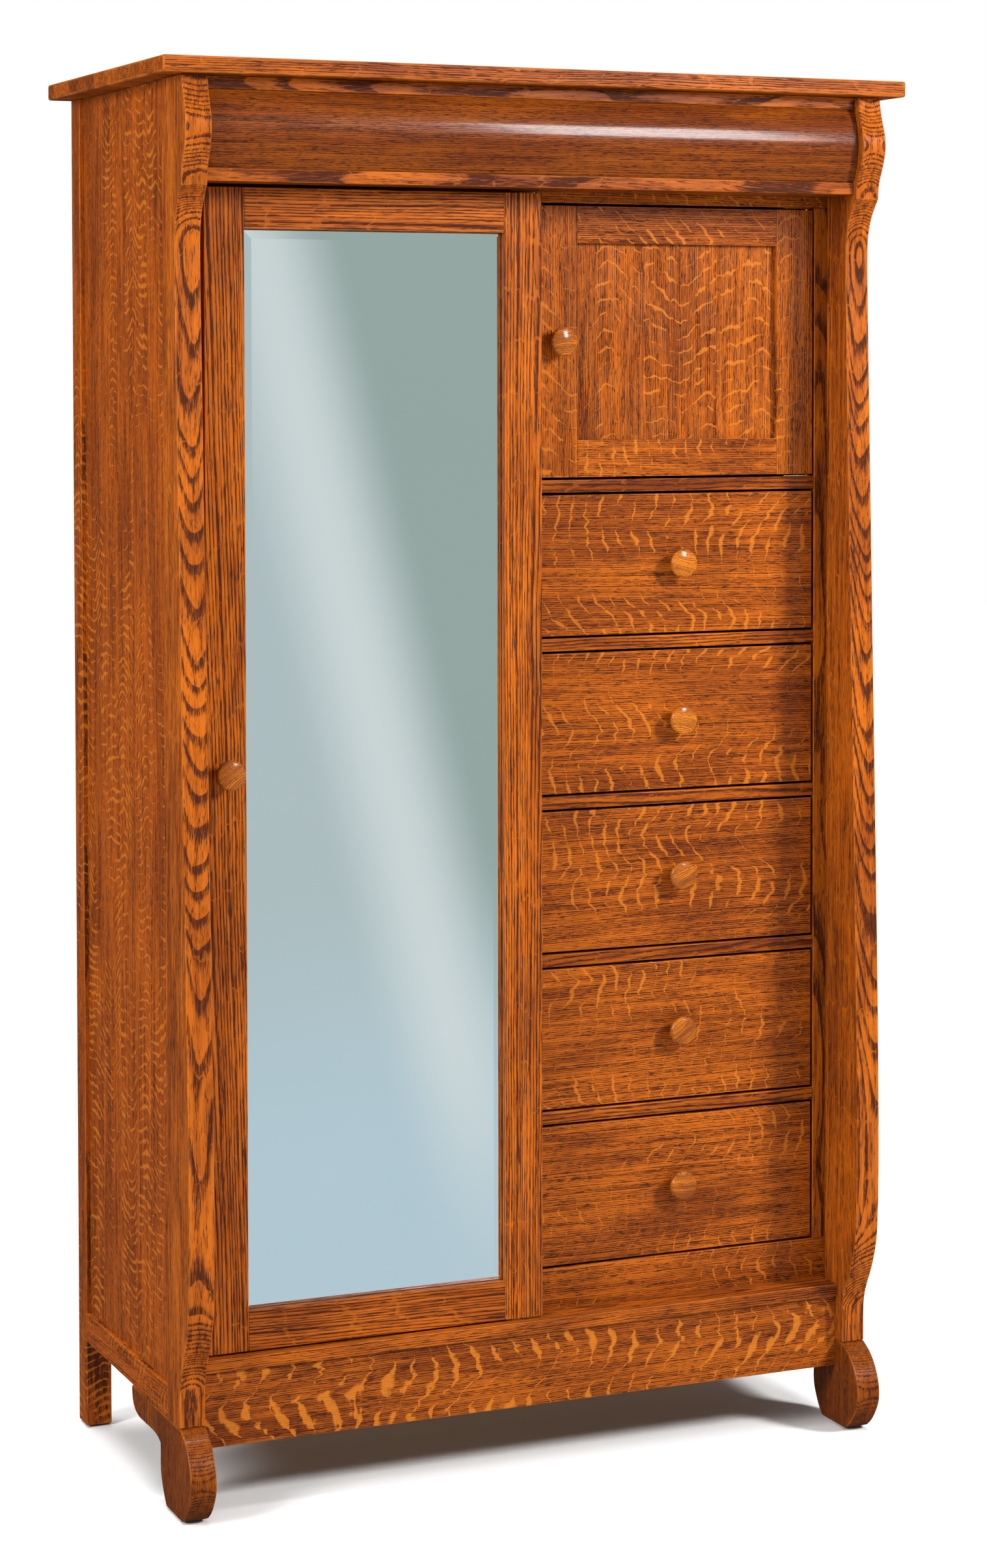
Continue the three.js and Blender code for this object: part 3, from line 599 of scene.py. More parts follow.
def lay_grain(mesh, name, grain, face, sawn, joints=(), tone=0.0, turn=0.0):
    """Writes where each corner lies in its tree: along the grain, and across and behind its heart."""
    across = 3 - grain - face
    cut = SAWN[sawn]
    corner = read_all(mesh.loops, "vertex_index", int)
    co = read_all(mesh.vertices, "co", size=3)
    centre = read_all(mesh.polygons, "center", size=3)
    totals = read_all(mesh.polygons, "loop_total", int)
    board_of = np.searchsorted(np.array(sorted(joints)), centre[:, across])
    edges = [co[:, across].min(), *sorted(joints), co[:, across].max()]
    middle = (co.min(0) + co.max(0)) / 2
    place = co[corner] - middle
    if turn:
        along, side = place[:, grain].copy(), place[:, across].copy()
        place[:, grain] = along * math.cos(turn) + side * math.sin(turn)
        place[:, across] = side * math.cos(turn) - along * math.sin(turn)
    board = np.zeros((len(corner), 3))
    tones = np.zeros(len(totals))
    of_corner = np.repeat(board_of, totals)
    for number in range(len(edges) - 1):
        dice = random.Random(f"{name} {number}")
        side = dice.choice((-1, 1))
        heart_across = side * dice.uniform(*cut["across"])
        heart_behind = dice.uniform(*cut["behind"])
        drift = [dice.choice((-1, 1)) * dice.uniform(*cut["drift"]) for _ in range(2)]
        start = dice.uniform(-TREE_LENGTH, TREE_LENGTH)
        mine = of_corner == number
        offset = (edges[number] + edges[number + 1]) / 2 - middle[across]
        length = place[mine, grain]
        board[mine, 0] = length + start
        board[mine, 1] = place[mine, across] - offset - heart_across + drift[0] * length
        board[mine, 2] = place[mine, face] - heart_behind + drift[1] * length
        tones[board_of == number] = tone + dice.uniform(-TONE_SPREAD, TONE_SPREAD)
    mesh.attributes.new("board", "FLOAT_VECTOR", "CORNER").data.foreach_set("vector", board.ravel())
    mesh.attributes.new("tone", "FLOAT", "FACE").data.foreach_set("value", tones)


def grained_mesh(shape, name, grain, face, sawn, joints=(), tone=0.0, turn=0.0):
    mesh = mesh_from(shape, name)
    lay_grain(mesh, name, grain, face, sawn, joints, tone, turn)
    return mesh


def merged(name, meshes):
    """One mesh out of several, with their attributes kept; the others are removed."""
    objects = [linked(f"{name}_{i}", mesh) for i, mesh in enumerate(meshes)]
    with bpy.context.temp_override(active_object=objects[0], object=objects[0],
                                   selected_objects=objects, selected_editable_objects=objects):
        bpy.ops.object.join()
    whole = objects[0].data
    bpy.data.objects.remove(objects[0])
    whole.name = name
    return whole


def body_of(node):
    return NODES[node]["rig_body"]


def nodes_named(start="", end=""):
    return sorted(n for n in NODES if n.startswith(start) and n.endswith(end))


def finished(name, shape, look, body, node=None):
    mesh = mesh_from(shape, name) if isinstance(shape, bmesh.types.BMesh) else shape
    mesh.shade_smooth()
    piece = linked(name, mesh)
    weighted = piece.modifiers.new("weighted", "WEIGHTED_NORMAL")
    weighted.weight = 80
    settle(piece)
    piece.data.materials.clear()
    piece.data.materials.append(bpy.data.materials[look])
    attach(piece, body)
    if node:
        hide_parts(node)


def stand_in(node, name, shape, look):
    """The piece that takes a node's place, on its body."""
    finished(name, shape, look, body_of(node), node)


def board(node, grain, face, sawn, look, radius, joints=(), tone=0.0, flush=False, lift=0.0):
    """A board in its node's place, with its edges eased and its grain laid."""
    shape = clean_copy(node)
    if lift:
        bottom = min(v.co.z for v in shape.verts)
        for vertex in shape.verts:
            vertex.co.z = max(vertex.co.z, bottom + lift)
    split_at(shape, 3 - grain - face, joints)
    ease(shape, radius, at_ends(shape, grain) if flush else None)
    name = node + "_wood"
    stand_in(node, name, grained_mesh(shape, name, grain, face, sawn, joints, tone), look)


def even_joints(low, high, count, name, spread=0.15):
    """Places of the glue joints between a number of boards, a little uneven."""
    dice = random.Random(name)
    step = (high - low) / count
    return [low + step * (i + dice.uniform(-spread, spread)) for i in range(1, count)]


def screw_tree():
    """Scatters slotted screw heads on points, each turned by its own amount."""
    top_share, slot_reach = 0.82, 2.4
    tree = bpy.data.node_groups.new("screw heads", "GeometryNodeTree")
    face = tree.interface
    face.new_socket("Geometry", in_out="INPUT", socket_type="NodeSocketGeometry")
    for label, default in (("Head Radius", 0.003), ("Head Height", 0.0006), ("Slot Width", 0.0007)):
        face.new_socket(label, in_out="INPUT", socket_type="NodeSocketFloat").default_value = default
    face.new_socket("Seed", in_out="INPUT", socket_type="NodeSocketInt").default_value = 7
    face.new_socket("Finish", in_out="INPUT", socket_type="NodeSocketMaterial")
    face.new_socket("Geometry", in_out="OUTPUT", socket_type="NodeSocketGeometry")
    given = tree.nodes.new("NodeGroupInput").outputs
    made = tree.nodes.new("NodeGroupOutput")
    radius, height = given["Head Radius"], given["Head Height"]
    head = wired(tree, "GeometryNodeMeshCone", {
        "Vertices": 20, "Radius Top": times(tree, radius, top_share), "Radius Bottom": radius,
        "Depth": height}).outputs["Mesh"]
    slot_size = vector_of(tree, {0: times(tree, radius, slot_reach), 1: given["Slot Width"], 2: height})
    slot = wired(tree, "GeometryNodeMeshCube", {"Size": slot_size}).outputs["Mesh"]
    raised = wired(tree, "GeometryNodeTransform", {
        "Geometry": slot, "Translation": vector_of(tree, {2: height})}).outputs[0]
    cut = wired(tree, "GeometryNodeMeshBoolean", {0: head, 1: raised}, operation="DIFFERENCE").outputs[0]
    facing = wired(tree, "GeometryNodeInputNamedAttribute", {"Name": "facing"}, data_type="FLOAT_VECTOR")
    aimed = wired(tree, "FunctionNodeAlignEulerToVector", {"Vector": facing.outputs[0]}, axis="Z")
    angle = wired(tree, "FunctionNodeRandomValue", {3: math.pi, "Seed": given["Seed"]}, data_type="FLOAT")
    spin = vector_of(tree, {2: angle.outputs[1]})
    turned = wired(tree, "FunctionNodeRotateEuler", {0: aimed.outputs[0], 1: spin}, space="LOCAL")
    spots = wired(tree, "GeometryNodeMeshToPoints", {0: given["Geometry"]}).outputs[0]
    placed = wired(tree, "GeometryNodeInstanceOnPoints", {
        "Points": spots, "Instance": cut, "Rotation": turned.outputs[0]}).outputs[0]
    real = wired(tree, "GeometryNodeRealizeInstances", {0: placed}).outputs[0]
    coated = wired(tree, "GeometryNodeSetMaterial", {"Geometry": real, "Material": given["Finish"]})
    fill(tree, made, {"Geometry": coated.outputs[0]})
    return tree


def screws(name, places, look, body, sizes):
    """Screw heads at (point, facing) pairs, as one plain mesh on one body."""
    mesh = bpy.data.meshes.new(name)
    mesh.from_pydata([Vector(p) for p, _ in places], [], [])
    facing = mesh.attributes.new("facing", "FLOAT_VECTOR", "POINT")
    facing.data.foreach_set("vector", [c for _, f in places for c in f])
    piece = linked(name, mesh)
    tree = bpy.data.node_groups.get("screw heads") or screw_tree()
    scatter = piece.modifiers.new("screws", "NODES")
    scatter.node_group = tree
    values = {**sizes, "Seed": 7, "Finish": bpy.data.materials[look]}
    for item in tree.interface.items_tree:
        if item.in_out == "INPUT" and item.name in values:
            scatter[item.identifier] = values[item.name]
    settle(piece)
    if not piece.data.polygons:
        raise RuntimeError(f"{name} came out empty")
    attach(piece, body)


# ---------------------------------------------------------------- operators
class ARMOIRE_OT_finishes(bpy.types.Operator):
    """Makes the node groups and the materials"""

    bl_idname = "armoire.finishes"
    bl_label = "Finishes"

    def execute(self, context):
        make_materials(context.scene.armoire_finish)
        return {"FINISHED"}


class ARMOIRE_OT_posts(bpy.types.Operator):
    """Makes the two scroll-cut front posts and their feet"""

    bl_idname = "armoire.posts"
    bl_label = "Posts and Feet"

    def execute(self, context):
        joinery = context.scene.armoire_joinery
        for side in ("left", "right"):
            board(side + "_post", Z, Y, "plain", "oak plain sawn", joinery.post_edge)
            board(side + "_front_foot", Z, Y, "plain", "oak crown", joinery.post_edge,
                  lift=joinery.glide_height)
        return {"FINISHED"}


class ARMOIRE_OT_sides(bpy.types.Operator):
    """Makes the side panels, their bottom rails and the back legs"""

    bl_idname = "armoire.sides"
    bl_label = "Sides and Back Legs"

    def execute(self, context):
        joinery = context.scene.armoire_joinery
        for side in ("left", "right"):
            board(side + "_back_leg", Z, X, "quartered", "oak side", joinery.board_edge,
                  lift=joinery.glide_height)
            board(side + "_side_rail", Y, X, "quartered", "oak side", joinery.board_edge, flush=True)
            low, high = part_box(side + "_side_panel")
            joints = even_joints(low.y, high.y, 5, side)
            board(side + "_side_panel", Z, X, "quartered", "oak side", joinery.joint_edge, joints)
        return {"FINISHED"}


class ARMOIRE_OT_top(bpy.types.Operator):
    """Makes the overhanging top slab"""

    bl_idname = "armoire.top"
    bl_label = "Top Slab"

    def execute(self, context):
        joinery = context.scene.armoire_joinery
        low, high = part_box("top_slab")
        joints = even_joints(low.y, high.y, 5, "top")
        board("top_slab", X, Z, "plain", "oak plain sawn", joinery.slab_edge, joints, tone=0.2)
        return {"FINISHED"}


class ARMOIRE_OT_crown(bpy.types.Operator):
    """Makes the bulging crown moulding and its two strips"""

    bl_idname = "armoire.crown"
    bl_label = "Crown"

    moulding_body: bpy.props.FloatProperty(
        name="Moulding Body", description="Depth of the moulding behind its bulge", default=0.02,
        unit="LENGTH", subtype="DISTANCE")
    arc_steps: bpy.props.IntProperty(
        name="Arc Steps", description="Flats round the bulge", default=36)

    def execute(self, context):
        joinery = context.scene.armoire_joinery
        for node in ("crown_top_strip", "crown_bottom_strip"):
            board(node, X, Y, "plain", "oak plain sawn", joinery.board_edge, tone=0.35, flush=True)
        low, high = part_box("crown_moulding")
        shoulder = high.y - self.moulding_body
        bulge = shoulder - low.y
        half = (high.z - low.z) / 2
        radius = (half ** 2 + bulge ** 2) / (2 * bulge)
        swing = math.asin(half / radius)
        middle = (high.z + low.z) / 2
        outline = [(high.y, low.z), (high.y, high.z)]
        for step in range(self.arc_steps + 1):
            angle = swing - 2 * swing * step / self.arc_steps
            outline.append((low.y + radius - radius * math.cos(angle), middle + radius * math.sin(angle)))
        shape = outline_shape(outline, X, low.x, high.x)
        ease(shape, joinery.joint_edge)
        name = "crown_moulding_wood"
        stand_in("crown_moulding", name, grained_mesh(shape, name, X, Y, "quartered"), "oak crown")
        return {"FINISHED"}


class ARMOIRE_OT_base(bpy.types.Operator):
    """Makes the apron and the sill over it"""

    bl_idname = "armoire.base"
    bl_label = "Apron and Sill"

    def execute(self, context):
        joinery = context.scene.armoire_joinery
        board("apron", X, Y, "quartered", "oak bold fleck", joinery.board_edge, flush=True)
        board("sill_cap", X, Z, "plain", "oak plain sawn", joinery.board_edge, tone=0.3, flush=True)
        return {"FINISHED"}


class ARMOIRE_OT_face_frame(bpy.types.Operator):
    """Makes the face frame, and the partition with its centre stile"""

    bl_idname = "armoire.face_frame"
    bl_label = "Face Frame and Partition"

    def execute(self, context):
        joinery = context.scene.armoire_joinery
        for node in ("frame_top_rail", "frame_bottom_rail"):
            board(node, X, Y, "quartered", "oak quartered", joinery.board_edge, flush=True)
        for node in ("frame_left_stile", "frame_right_stile"):
            board(node, Z, Y, "plain", "oak plain sawn", joinery.board_edge, tone=0.25, flush=True)
        low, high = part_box("partition")
        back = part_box("frame_top_rail")[1].y
        stile_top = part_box("frame_left_stile")[1].z
        seam = 0.00015
        stile = box_shape(low, (high.x, back, stile_top))
        ease(stile, joinery.board_edge, at_ends(stile, Z))
        stile = grained_mesh(stile, "centre_stile", Z, Y, "quartered")
        inset = (high.x - low.x - joinery.partition_thickness) / 2
        panel = box_shape((low.x + inset, back + seam, low.z), (high.x - inset, high.y, high.z))
        ease(panel, joinery.joint_edge)
        panel = grained_mesh(panel, "partition_panel", Z, X, "plain")
        name = "partition_wood"
        stand_in("partition", name, merged(name, [stile, panel]), "oak quartered")
        return {"FINISHED"}


class ARMOIRE_OT_inside(bpy.types.Operator):
    """Makes the shelf and rails, the bottom, the back and the hanging rod with its sockets"""

    bl_idname = "armoire.inside"
    bl_label = "Inside"

    def execute(self, context):
        joinery = context.scene.armoire_joinery
        for node in ["compartment_shelf"] + nodes_named("drawer_rail_"):
            board(node, X, Z, "plain", "oak plain sawn", joinery.board_edge, tone=0.45)
        low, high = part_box("bottom_panel")
        board("bottom_panel", X, Z, "plain", "oak lining", joinery.joint_edge,
              even_joints(low.y, high.y, 4, "bottom"))
        low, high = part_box("back_panel")
        board("back_panel", Z, Y, "plain", "oak side", joinery.joint_edge,
              even_joints(low.x, high.x, 5, "back", 0.0))
        self.rod()
        return {"FINISHED"}

    def rod(self):
        chamfer, clearance = 0.001, 0.0005
        low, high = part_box("hanging_rod")
        centre = (low + high) / 2
        radius = (high.z - low.z) / 2
        profile = [(low.x, 0), (low.x, radius - chamfer), (low.x + chamfer, radius),
                   (high.x - chamfer, radius), (high.x, radius - chamfer), (high.x, 0)]
        rod = lathed(profile, (0, centre.y, centre.z), (1, 0, 0), 48)
        name = "hanging_rod_wood"
        stand_in("hanging_rod", name, grained_mesh(rod, name, X, Z, "plain"), "oak lining")
        cup = [(height, radius + past) for height, past in ROD_CUP + ROD_CUP[:1]]
        for end, wall, inward in (("left", low.x - clearance, 1), ("right", high.x + clearance, -1)):
            socket = lathed(cup, (wall, centre.y, centre.z), (inward, 0, 0), 48)
            finished(end + "_rod_socket", socket, "brushed brass", "case")


class ARMOIRE_OT_mirror_door(bpy.types.Operator):
    """Makes the mirror door's frame, its bevelled mirror, the backing and the strips that hold it"""

    bl_idname = "armoire.mirror_door"
    bl_label = "Mirror Door"

    def execute(self, context):
        joinery = context.scene.armoire_joinery
        for node in ("mirror_door_left_stile", "mirror_door_right_stile"):
            board(node, Z, Y, "slant", "oak rift", joinery.board_edge)
        for node in ("mirror_door_bottom_rail", "mirror_door_top_rail"):
            board(node, X, Y, "slant", "oak rift", joinery.board_edge, flush=True)
        self.plate(joinery)
        self.backing()
        return {"FINISHED"}

    def plate(self, joinery):
        """The mirror: its ground border falls back from the flat towards the covered edge."""
        covered, fall, near = 0.0077, 0.0014, 1e-4
        low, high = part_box("mirror_glass")
        shape = box_shape(low, high)
        front = [f for f in shape.faces if f.normal.y < -0.5]
        bmesh.ops.inset_region(shape, faces=front, thickness=joinery.mirror_bevel + covered,
                               use_even_offset=True)
        for vertex in shape.verts:
            x, y, z = vertex.co
            if y < low.y + MERGE and min(x - low.x, high.x - x, z - low.z, high.z - z) < near:
                vertex.co.y += fall
        piece = linked("mirror_plate", mesh_from(shape, "mirror_plate"))
        piece.data.materials.append(bpy.data.materials["silvered mirror"])
        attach(piece, "mirror_door")
        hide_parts("mirror_glass")

    def backing(self):
        """A sheet behind the mirror, held by four strips just inside the door's back."""
        gap, sheet_back, sheet_edge = 0.0002, 0.0032, 0.0003
        width, strip_edge, inside = 0.012, 0.0012, 0.0003
        low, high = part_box("mirror_glass")
        strip_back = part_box("mirror_door_left_stile")[1].y - inside
        sheet = box_shape((low.x, high.y + gap, low.z), (high.x, high.y + sheet_back, high.z))
        ease(sheet, sheet_edge)
        finished("mirror_backing", sheet, "hardboard", "mirror_door")
        strip_front = high.y + sheet_back + gap
        spans = {
            "left": ((low.x, low.z), (low.x + width, high.z)),
            "right": ((high.x - width, low.z), (high.x, high.z)),
            "bottom": ((low.x + width + gap, low.z), (high.x - width - gap, low.z + width)),
            "top": ((low.x + width + gap, high.z - width), (high.x - width - gap, high.z)),
        }
        for side, ((x0, z0), (x1, z1)) in spans.items():
            strip = box_shape((x0, strip_front, z0), (x1, strip_back, z1))
            ease(strip, strip_edge)
            grain = Z if side in ("left", "right") else X
            name = f"mirror_{side}_strip"
            strip = grained_mesh(strip, name, grain, Y, "plain")
            finished(name, strip, "oak plain sawn", "mirror_door")


class ARMOIRE_OT_small_door(bpy.types.Operator):
    """Makes the small door: its frame and its glued-up panel"""

    bl_idname = "armoire.small_door"
    bl_label = "Small Door"

    def execute(self, context):
        joinery = context.scene.armoire_joinery
        slimmer = 0.6
        edge = joinery.board_edge * slimmer
        for side in ("left", "right"):
            board(f"small_door_{side}_stile", Z, Y, "quartered", "oak quartered", edge)
        for side in ("top", "bottom"):
            board(f"small_door_{side}_rail", X, Y, "quartered", "oak quartered", edge, flush=True)
        low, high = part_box("small_door_panel")
        joints = even_joints(low.x, high.x, 3, "panel", 0.1)
        board("small_door_panel", Z, Y, "quartered", "oak quartered", joinery.joint_edge, joints, tone=-0.2)
        return {"FINISHED"}


class ARMOIRE_OT_drawers(bpy.types.Operator):
    """Makes the drawer fronts and the dovetailed drawer boxes"""

    bl_idname = "armoire.drawers"
    bl_label = "Drawers"

    wall: bpy.props.FloatProperty(
        name="Box Wall", description="Thickness of a drawer's sides", default=0.012,
        unit="LENGTH", subtype="DISTANCE")
    floor: bpy.props.FloatProperty(
        name="Box Floor", description="Height of the bottom's upper face", default=0.008,
        unit="LENGTH", subtype="DISTANCE")

    def execute(self, context):
        joinery = context.scene.armoire_joinery
        for node in nodes_named("drawer_", "_front"):
            board(node, X, Y, "quartered", "oak quartered", joinery.board_edge)
        for node in nodes_named("drawer_", "_box"):
            self.box(node, joinery)
        return {"FINISHED"}

    def tails(self, low, high, count, end, step):
        """Corners of one dovetailed end, from low to high; end is its outer plane, step the way in."""
        pitch = (high - low) / count
        pin, flare = pitch * PIN_SHARE, self.wall * FLARE_SHARE
        corners = []
        for number in range(count):
            start = low + pitch * number
            stop = start + pitch
            corners += [(end, start + pin * 0.5 + flare), (end, stop - pin * 0.5 - flare)]
            if number < count - 1:
                corners += [(end + step, stop - pin * 0.5 + flare), (end + step, stop + pin * 0.5 - flare)]
        return corners

    def box(self, node, joinery):
        low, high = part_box(node)
        wall, seam, raised = self.wall, 0.0001, 0.002
        count, edge = joinery.dovetails, joinery.joint_edge
        front = self.tails(low.z, high.z, count, low.y, wall)
        back = self.tails(low.z, high.z, count, high.y, -wall)
        outline = [(low.y + wall, low.z)] + front + [(low.y + wall, high.z), (high.y - wall, high.z)]
        outline += back[::-1] + [(high.y - wall, low.z)]
        meshes = []

        def add(shape, part, grain, face):
            ease(shape, edge, segments=1)
            meshes.append(grained_mesh(shape, f"{node} {part}", grain, face, "plain"))

        for side, x0 in (("left", low.x), ("right", high.x - wall)):
            add(outline_shape(outline, X, x0, x0 + wall), side, Y, X)
        for end, y0 in (("front", low.y), ("back", high.y - wall)):
            outer = y0 if end == "front" else y0 + wall
            add(box_shape((low.x + wall + seam, y0, low.z), (high.x - wall - seam, y0 + wall, high.z)),
                end, X, Y)
            for z0, z1 in self.pins(low.z, high.z, count):
                for x0 in (low.x + seam, high.x - wall):
                    meshes.append(self.pin(f"{node} {end}", x0, y0, outer, z0, z1))
        add(box_shape((low.x + wall, low.y + wall, low.z + raised),
                      (high.x - wall, high.y - wall, low.z + self.floor)), "floor", X, Z)
        name = node + "_wood"
        stand_in(node, name, merged(name, meshes), "oak lining")

    def pins(self, low, high, count):
        pitch = (high - low) / count
        pin = pitch * PIN_SHARE
        return [(low + pitch * i - pin * 0.5, low + pitch * i + pin * 0.5) for i in range(1, count)]

    def pin(self, name, x0, y0, outer, z0, z1):
        """The end grain of one pin, wider at the outer face."""
        wall, seam, edge = self.wall, 0.00012, 0.0001
        flare = wall * FLARE_SHARE
        inner = 2 * y0 + wall - outer
        corners = [(outer, z0 - flare + seam), (outer, z1 + flare - seam),
                   (inner, z1 - flare - seam), (inner, z0 + flare + seam)]
        shape = outline_shape(corners, X, x0, x0 + wall - seam)
        ease(shape, edge, segments=1)
        return grained_mesh(shape, name, X, Y, "plain", tone=0.6)


class ARMOIRE_OT_knobs(bpy.types.Operator):
    """Turns the seven knobs"""

    bl_idname = "armoire.knobs"
    bl_label = "Knobs"

    def profile(self, height, radius):
        """(height, radius) pairs from the face outwards: a neck, a cove, a rolled rim and a low dome."""
        foot, neck, rim = radius * 0.44, radius * 0.42, radius * 0.22
        under, widest = height * 0.42, height * 0.74
        neck_start, neck_rise, rim_depth = 0.05, 0.37, 0.95
        cove_steps, rim_steps, dome_steps = 12, 9, 10
        points = [(0, 0), (0, radius * 0.45), (height * neck_start, foot)]
        points += [(height * (neck_start + neck_rise * t), foot - (foot - neck) * math.sin(math.pi * t / 2))
                   for t in (0.2, 0.4, 0.6, 0.8, 1.0)]
        for step in range(1, cove_steps + 1):
            angle = math.pi / 2 * step / cove_steps
            points.append((under + (widest - under) * (1 - math.cos(angle)),
                           neck + (radius - neck) * math.sin(angle)))
        for step in range(1, rim_steps + 1):
            angle = math.radians(80) * step / rim_steps
            points.append((widest + rim * math.sin(angle) * rim_depth, radius - rim * (1 - math.cos(angle))))
        start_height, start_radius = points[-1]
        for step in range(1, dome_steps + 1):
            share = step / dome_steps
            points.append((start_height + (height - start_height) * (1 - (1 - share) ** 2),
                           start_radius * (1 - share)))
        return points

    def execute(self, context):
        most_turn = 0.7
        for node in nodes_named(end="_knob"):
            low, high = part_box(node)
            centre = ((low.x + high.x) / 2, high.y, (low.z + high.z) / 2)
            shape = lathed(self.profile(high.y - low.y, (high.x - low.x) / 2), centre, (0, -1, 0))
            turn = random.Random(node).uniform(-most_turn, most_turn)
            name = node + "_wood"
            stand_in(node, name, grained_mesh(shape, name, X, Y, "slant", turn=turn), "oak knob")
        return {"FINISHED"}


class ARMOIRE_OT_pivots(bpy.types.Operator):
    """Makes the four pivot hinges with their screws"""

    bl_idname = "armoire.pivots"
    bl_label = "Pivot Hinges"

    def execute(self, context):
        leaf, head_rise, edge = 0.0012, 0.00025, 0.0002
        places = []
        for node in nodes_named(end="_pivot"):
            shape = clean_copy(node)
            ease(shape, edge, segments=2)
            finished(node + "_hardware", shape, "brushed brass", "case", node)
            low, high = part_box(node)
            up = 1 if node.endswith("bottom_pivot") else -1
            face = low.z + leaf if up > 0 else high.z - leaf
            for share in (0.2, 0.52):
                x = low.x + (high.x - low.x) * share
                places.append(((x, (low.y + high.y) / 2, face + up * head_rise), (0, 0, up)))
        screws("pivot_screws", places, "brushed brass", "case", PIVOT_SCREW)
        return {"FINISHED"}


class ARMOIRE_OT_fastenings(bpy.types.Operator):
    """Drives the screws in the back and the strips behind the mirror"""

    bl_idname = "armoire.fastenings"
    bl_label = "Fastenings"

    rows: bpy.props.IntProperty(name="Back Rows", description="Screws up each edge of the back", default=9)
    columns: bpy.props.IntProperty(
        name="Back Columns", description="Screws along each end of the back", default=6)
    strip_rows: bpy.props.IntProperty(
        name="Strip Rows", description="Screws up each strip behind the mirror", default=7)

    def execute(self, context):
        backwards = (0, 1, 0)
        low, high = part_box("back_panel")
        inset, head_rise = 0.012, 0.0003
        face = high.y + head_rise
        places = []
        for row in range(self.rows):
            z = low.z + inset + (high.z - low.z - 2 * inset) * row / (self.rows - 1)
            places += [((x, face, z), backwards) for x in (low.x + inset, high.x - inset)]
        for column in range(1, self.columns - 1):
            x = low.x + inset + (high.x - low.x - 2 * inset) * column / (self.columns - 1)
            places += [((x, face, z), backwards) for z in (low.z + inset, high.z - inset)]
        screws("back_screws", places, "zinc screw", "case", BACK_SCREW)

        low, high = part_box("mirror_glass")
        inset, corner_gap, end_gap, sunk = 0.006, 0.05, 0.09, 0.0001
        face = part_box("mirror_door_left_stile")[1].y - sunk
        places = []
        for row in range(self.strip_rows):
            z = low.z + corner_gap + (high.z - low.z - 2 * corner_gap) * row / (self.strip_rows - 1)
            places += [((x, face, z), backwards) for x in (low.x + inset, high.x - inset)]
        for x in (low.x + end_gap, (low.x + high.x) / 2, high.x - end_gap):
            places += [((x, face, z), backwards) for z in (low.z + inset, high.z - inset)]
        screws("mirror_strip_screws", places, "brushed brass", "mirror_door", STRIP_SCREW)
        return {"FINISHED"}


class ARMOIRE_OT_glides(bpy.types.Operator):
    """Makes the glides under the feet and the back legs"""

    bl_idname = "armoire.glides"
    bl_label = "Glides"

    def execute(self, context):
        height = context.scene.armoire_joinery.glide_height
        radius, roll, sole_start, sole_end = 0.012, 0.0015, 0.052, 0.108
        sole = 0.5 * (sole_start + sole_end)
        slab_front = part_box("top_slab")[0].y
        profile = [(0, 0), (0, radius - roll), (0.0008, radius - 0.0003), (roll, radius),
                   (height, radius), (height, 0)]
        for side in ("left", "right"):
            foot_low, foot_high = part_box(side + "_front_foot")
            leg_low, leg_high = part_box(side + "_back_leg")
            spots = {
                "front": ((foot_low.x + foot_high.x) / 2, slab_front + sole),
                "back": ((leg_low.x + leg_high.x) / 2, (leg_low.y + leg_high.y) / 2),
            }
            for end, (x, y) in spots.items():
                shape = lathed(profile, (x, y, 0), (0, 0, 1), 40)
                finished(f"{side}_{end}_glide", shape, "black nylon", "case")
        return {"FINISHED"}


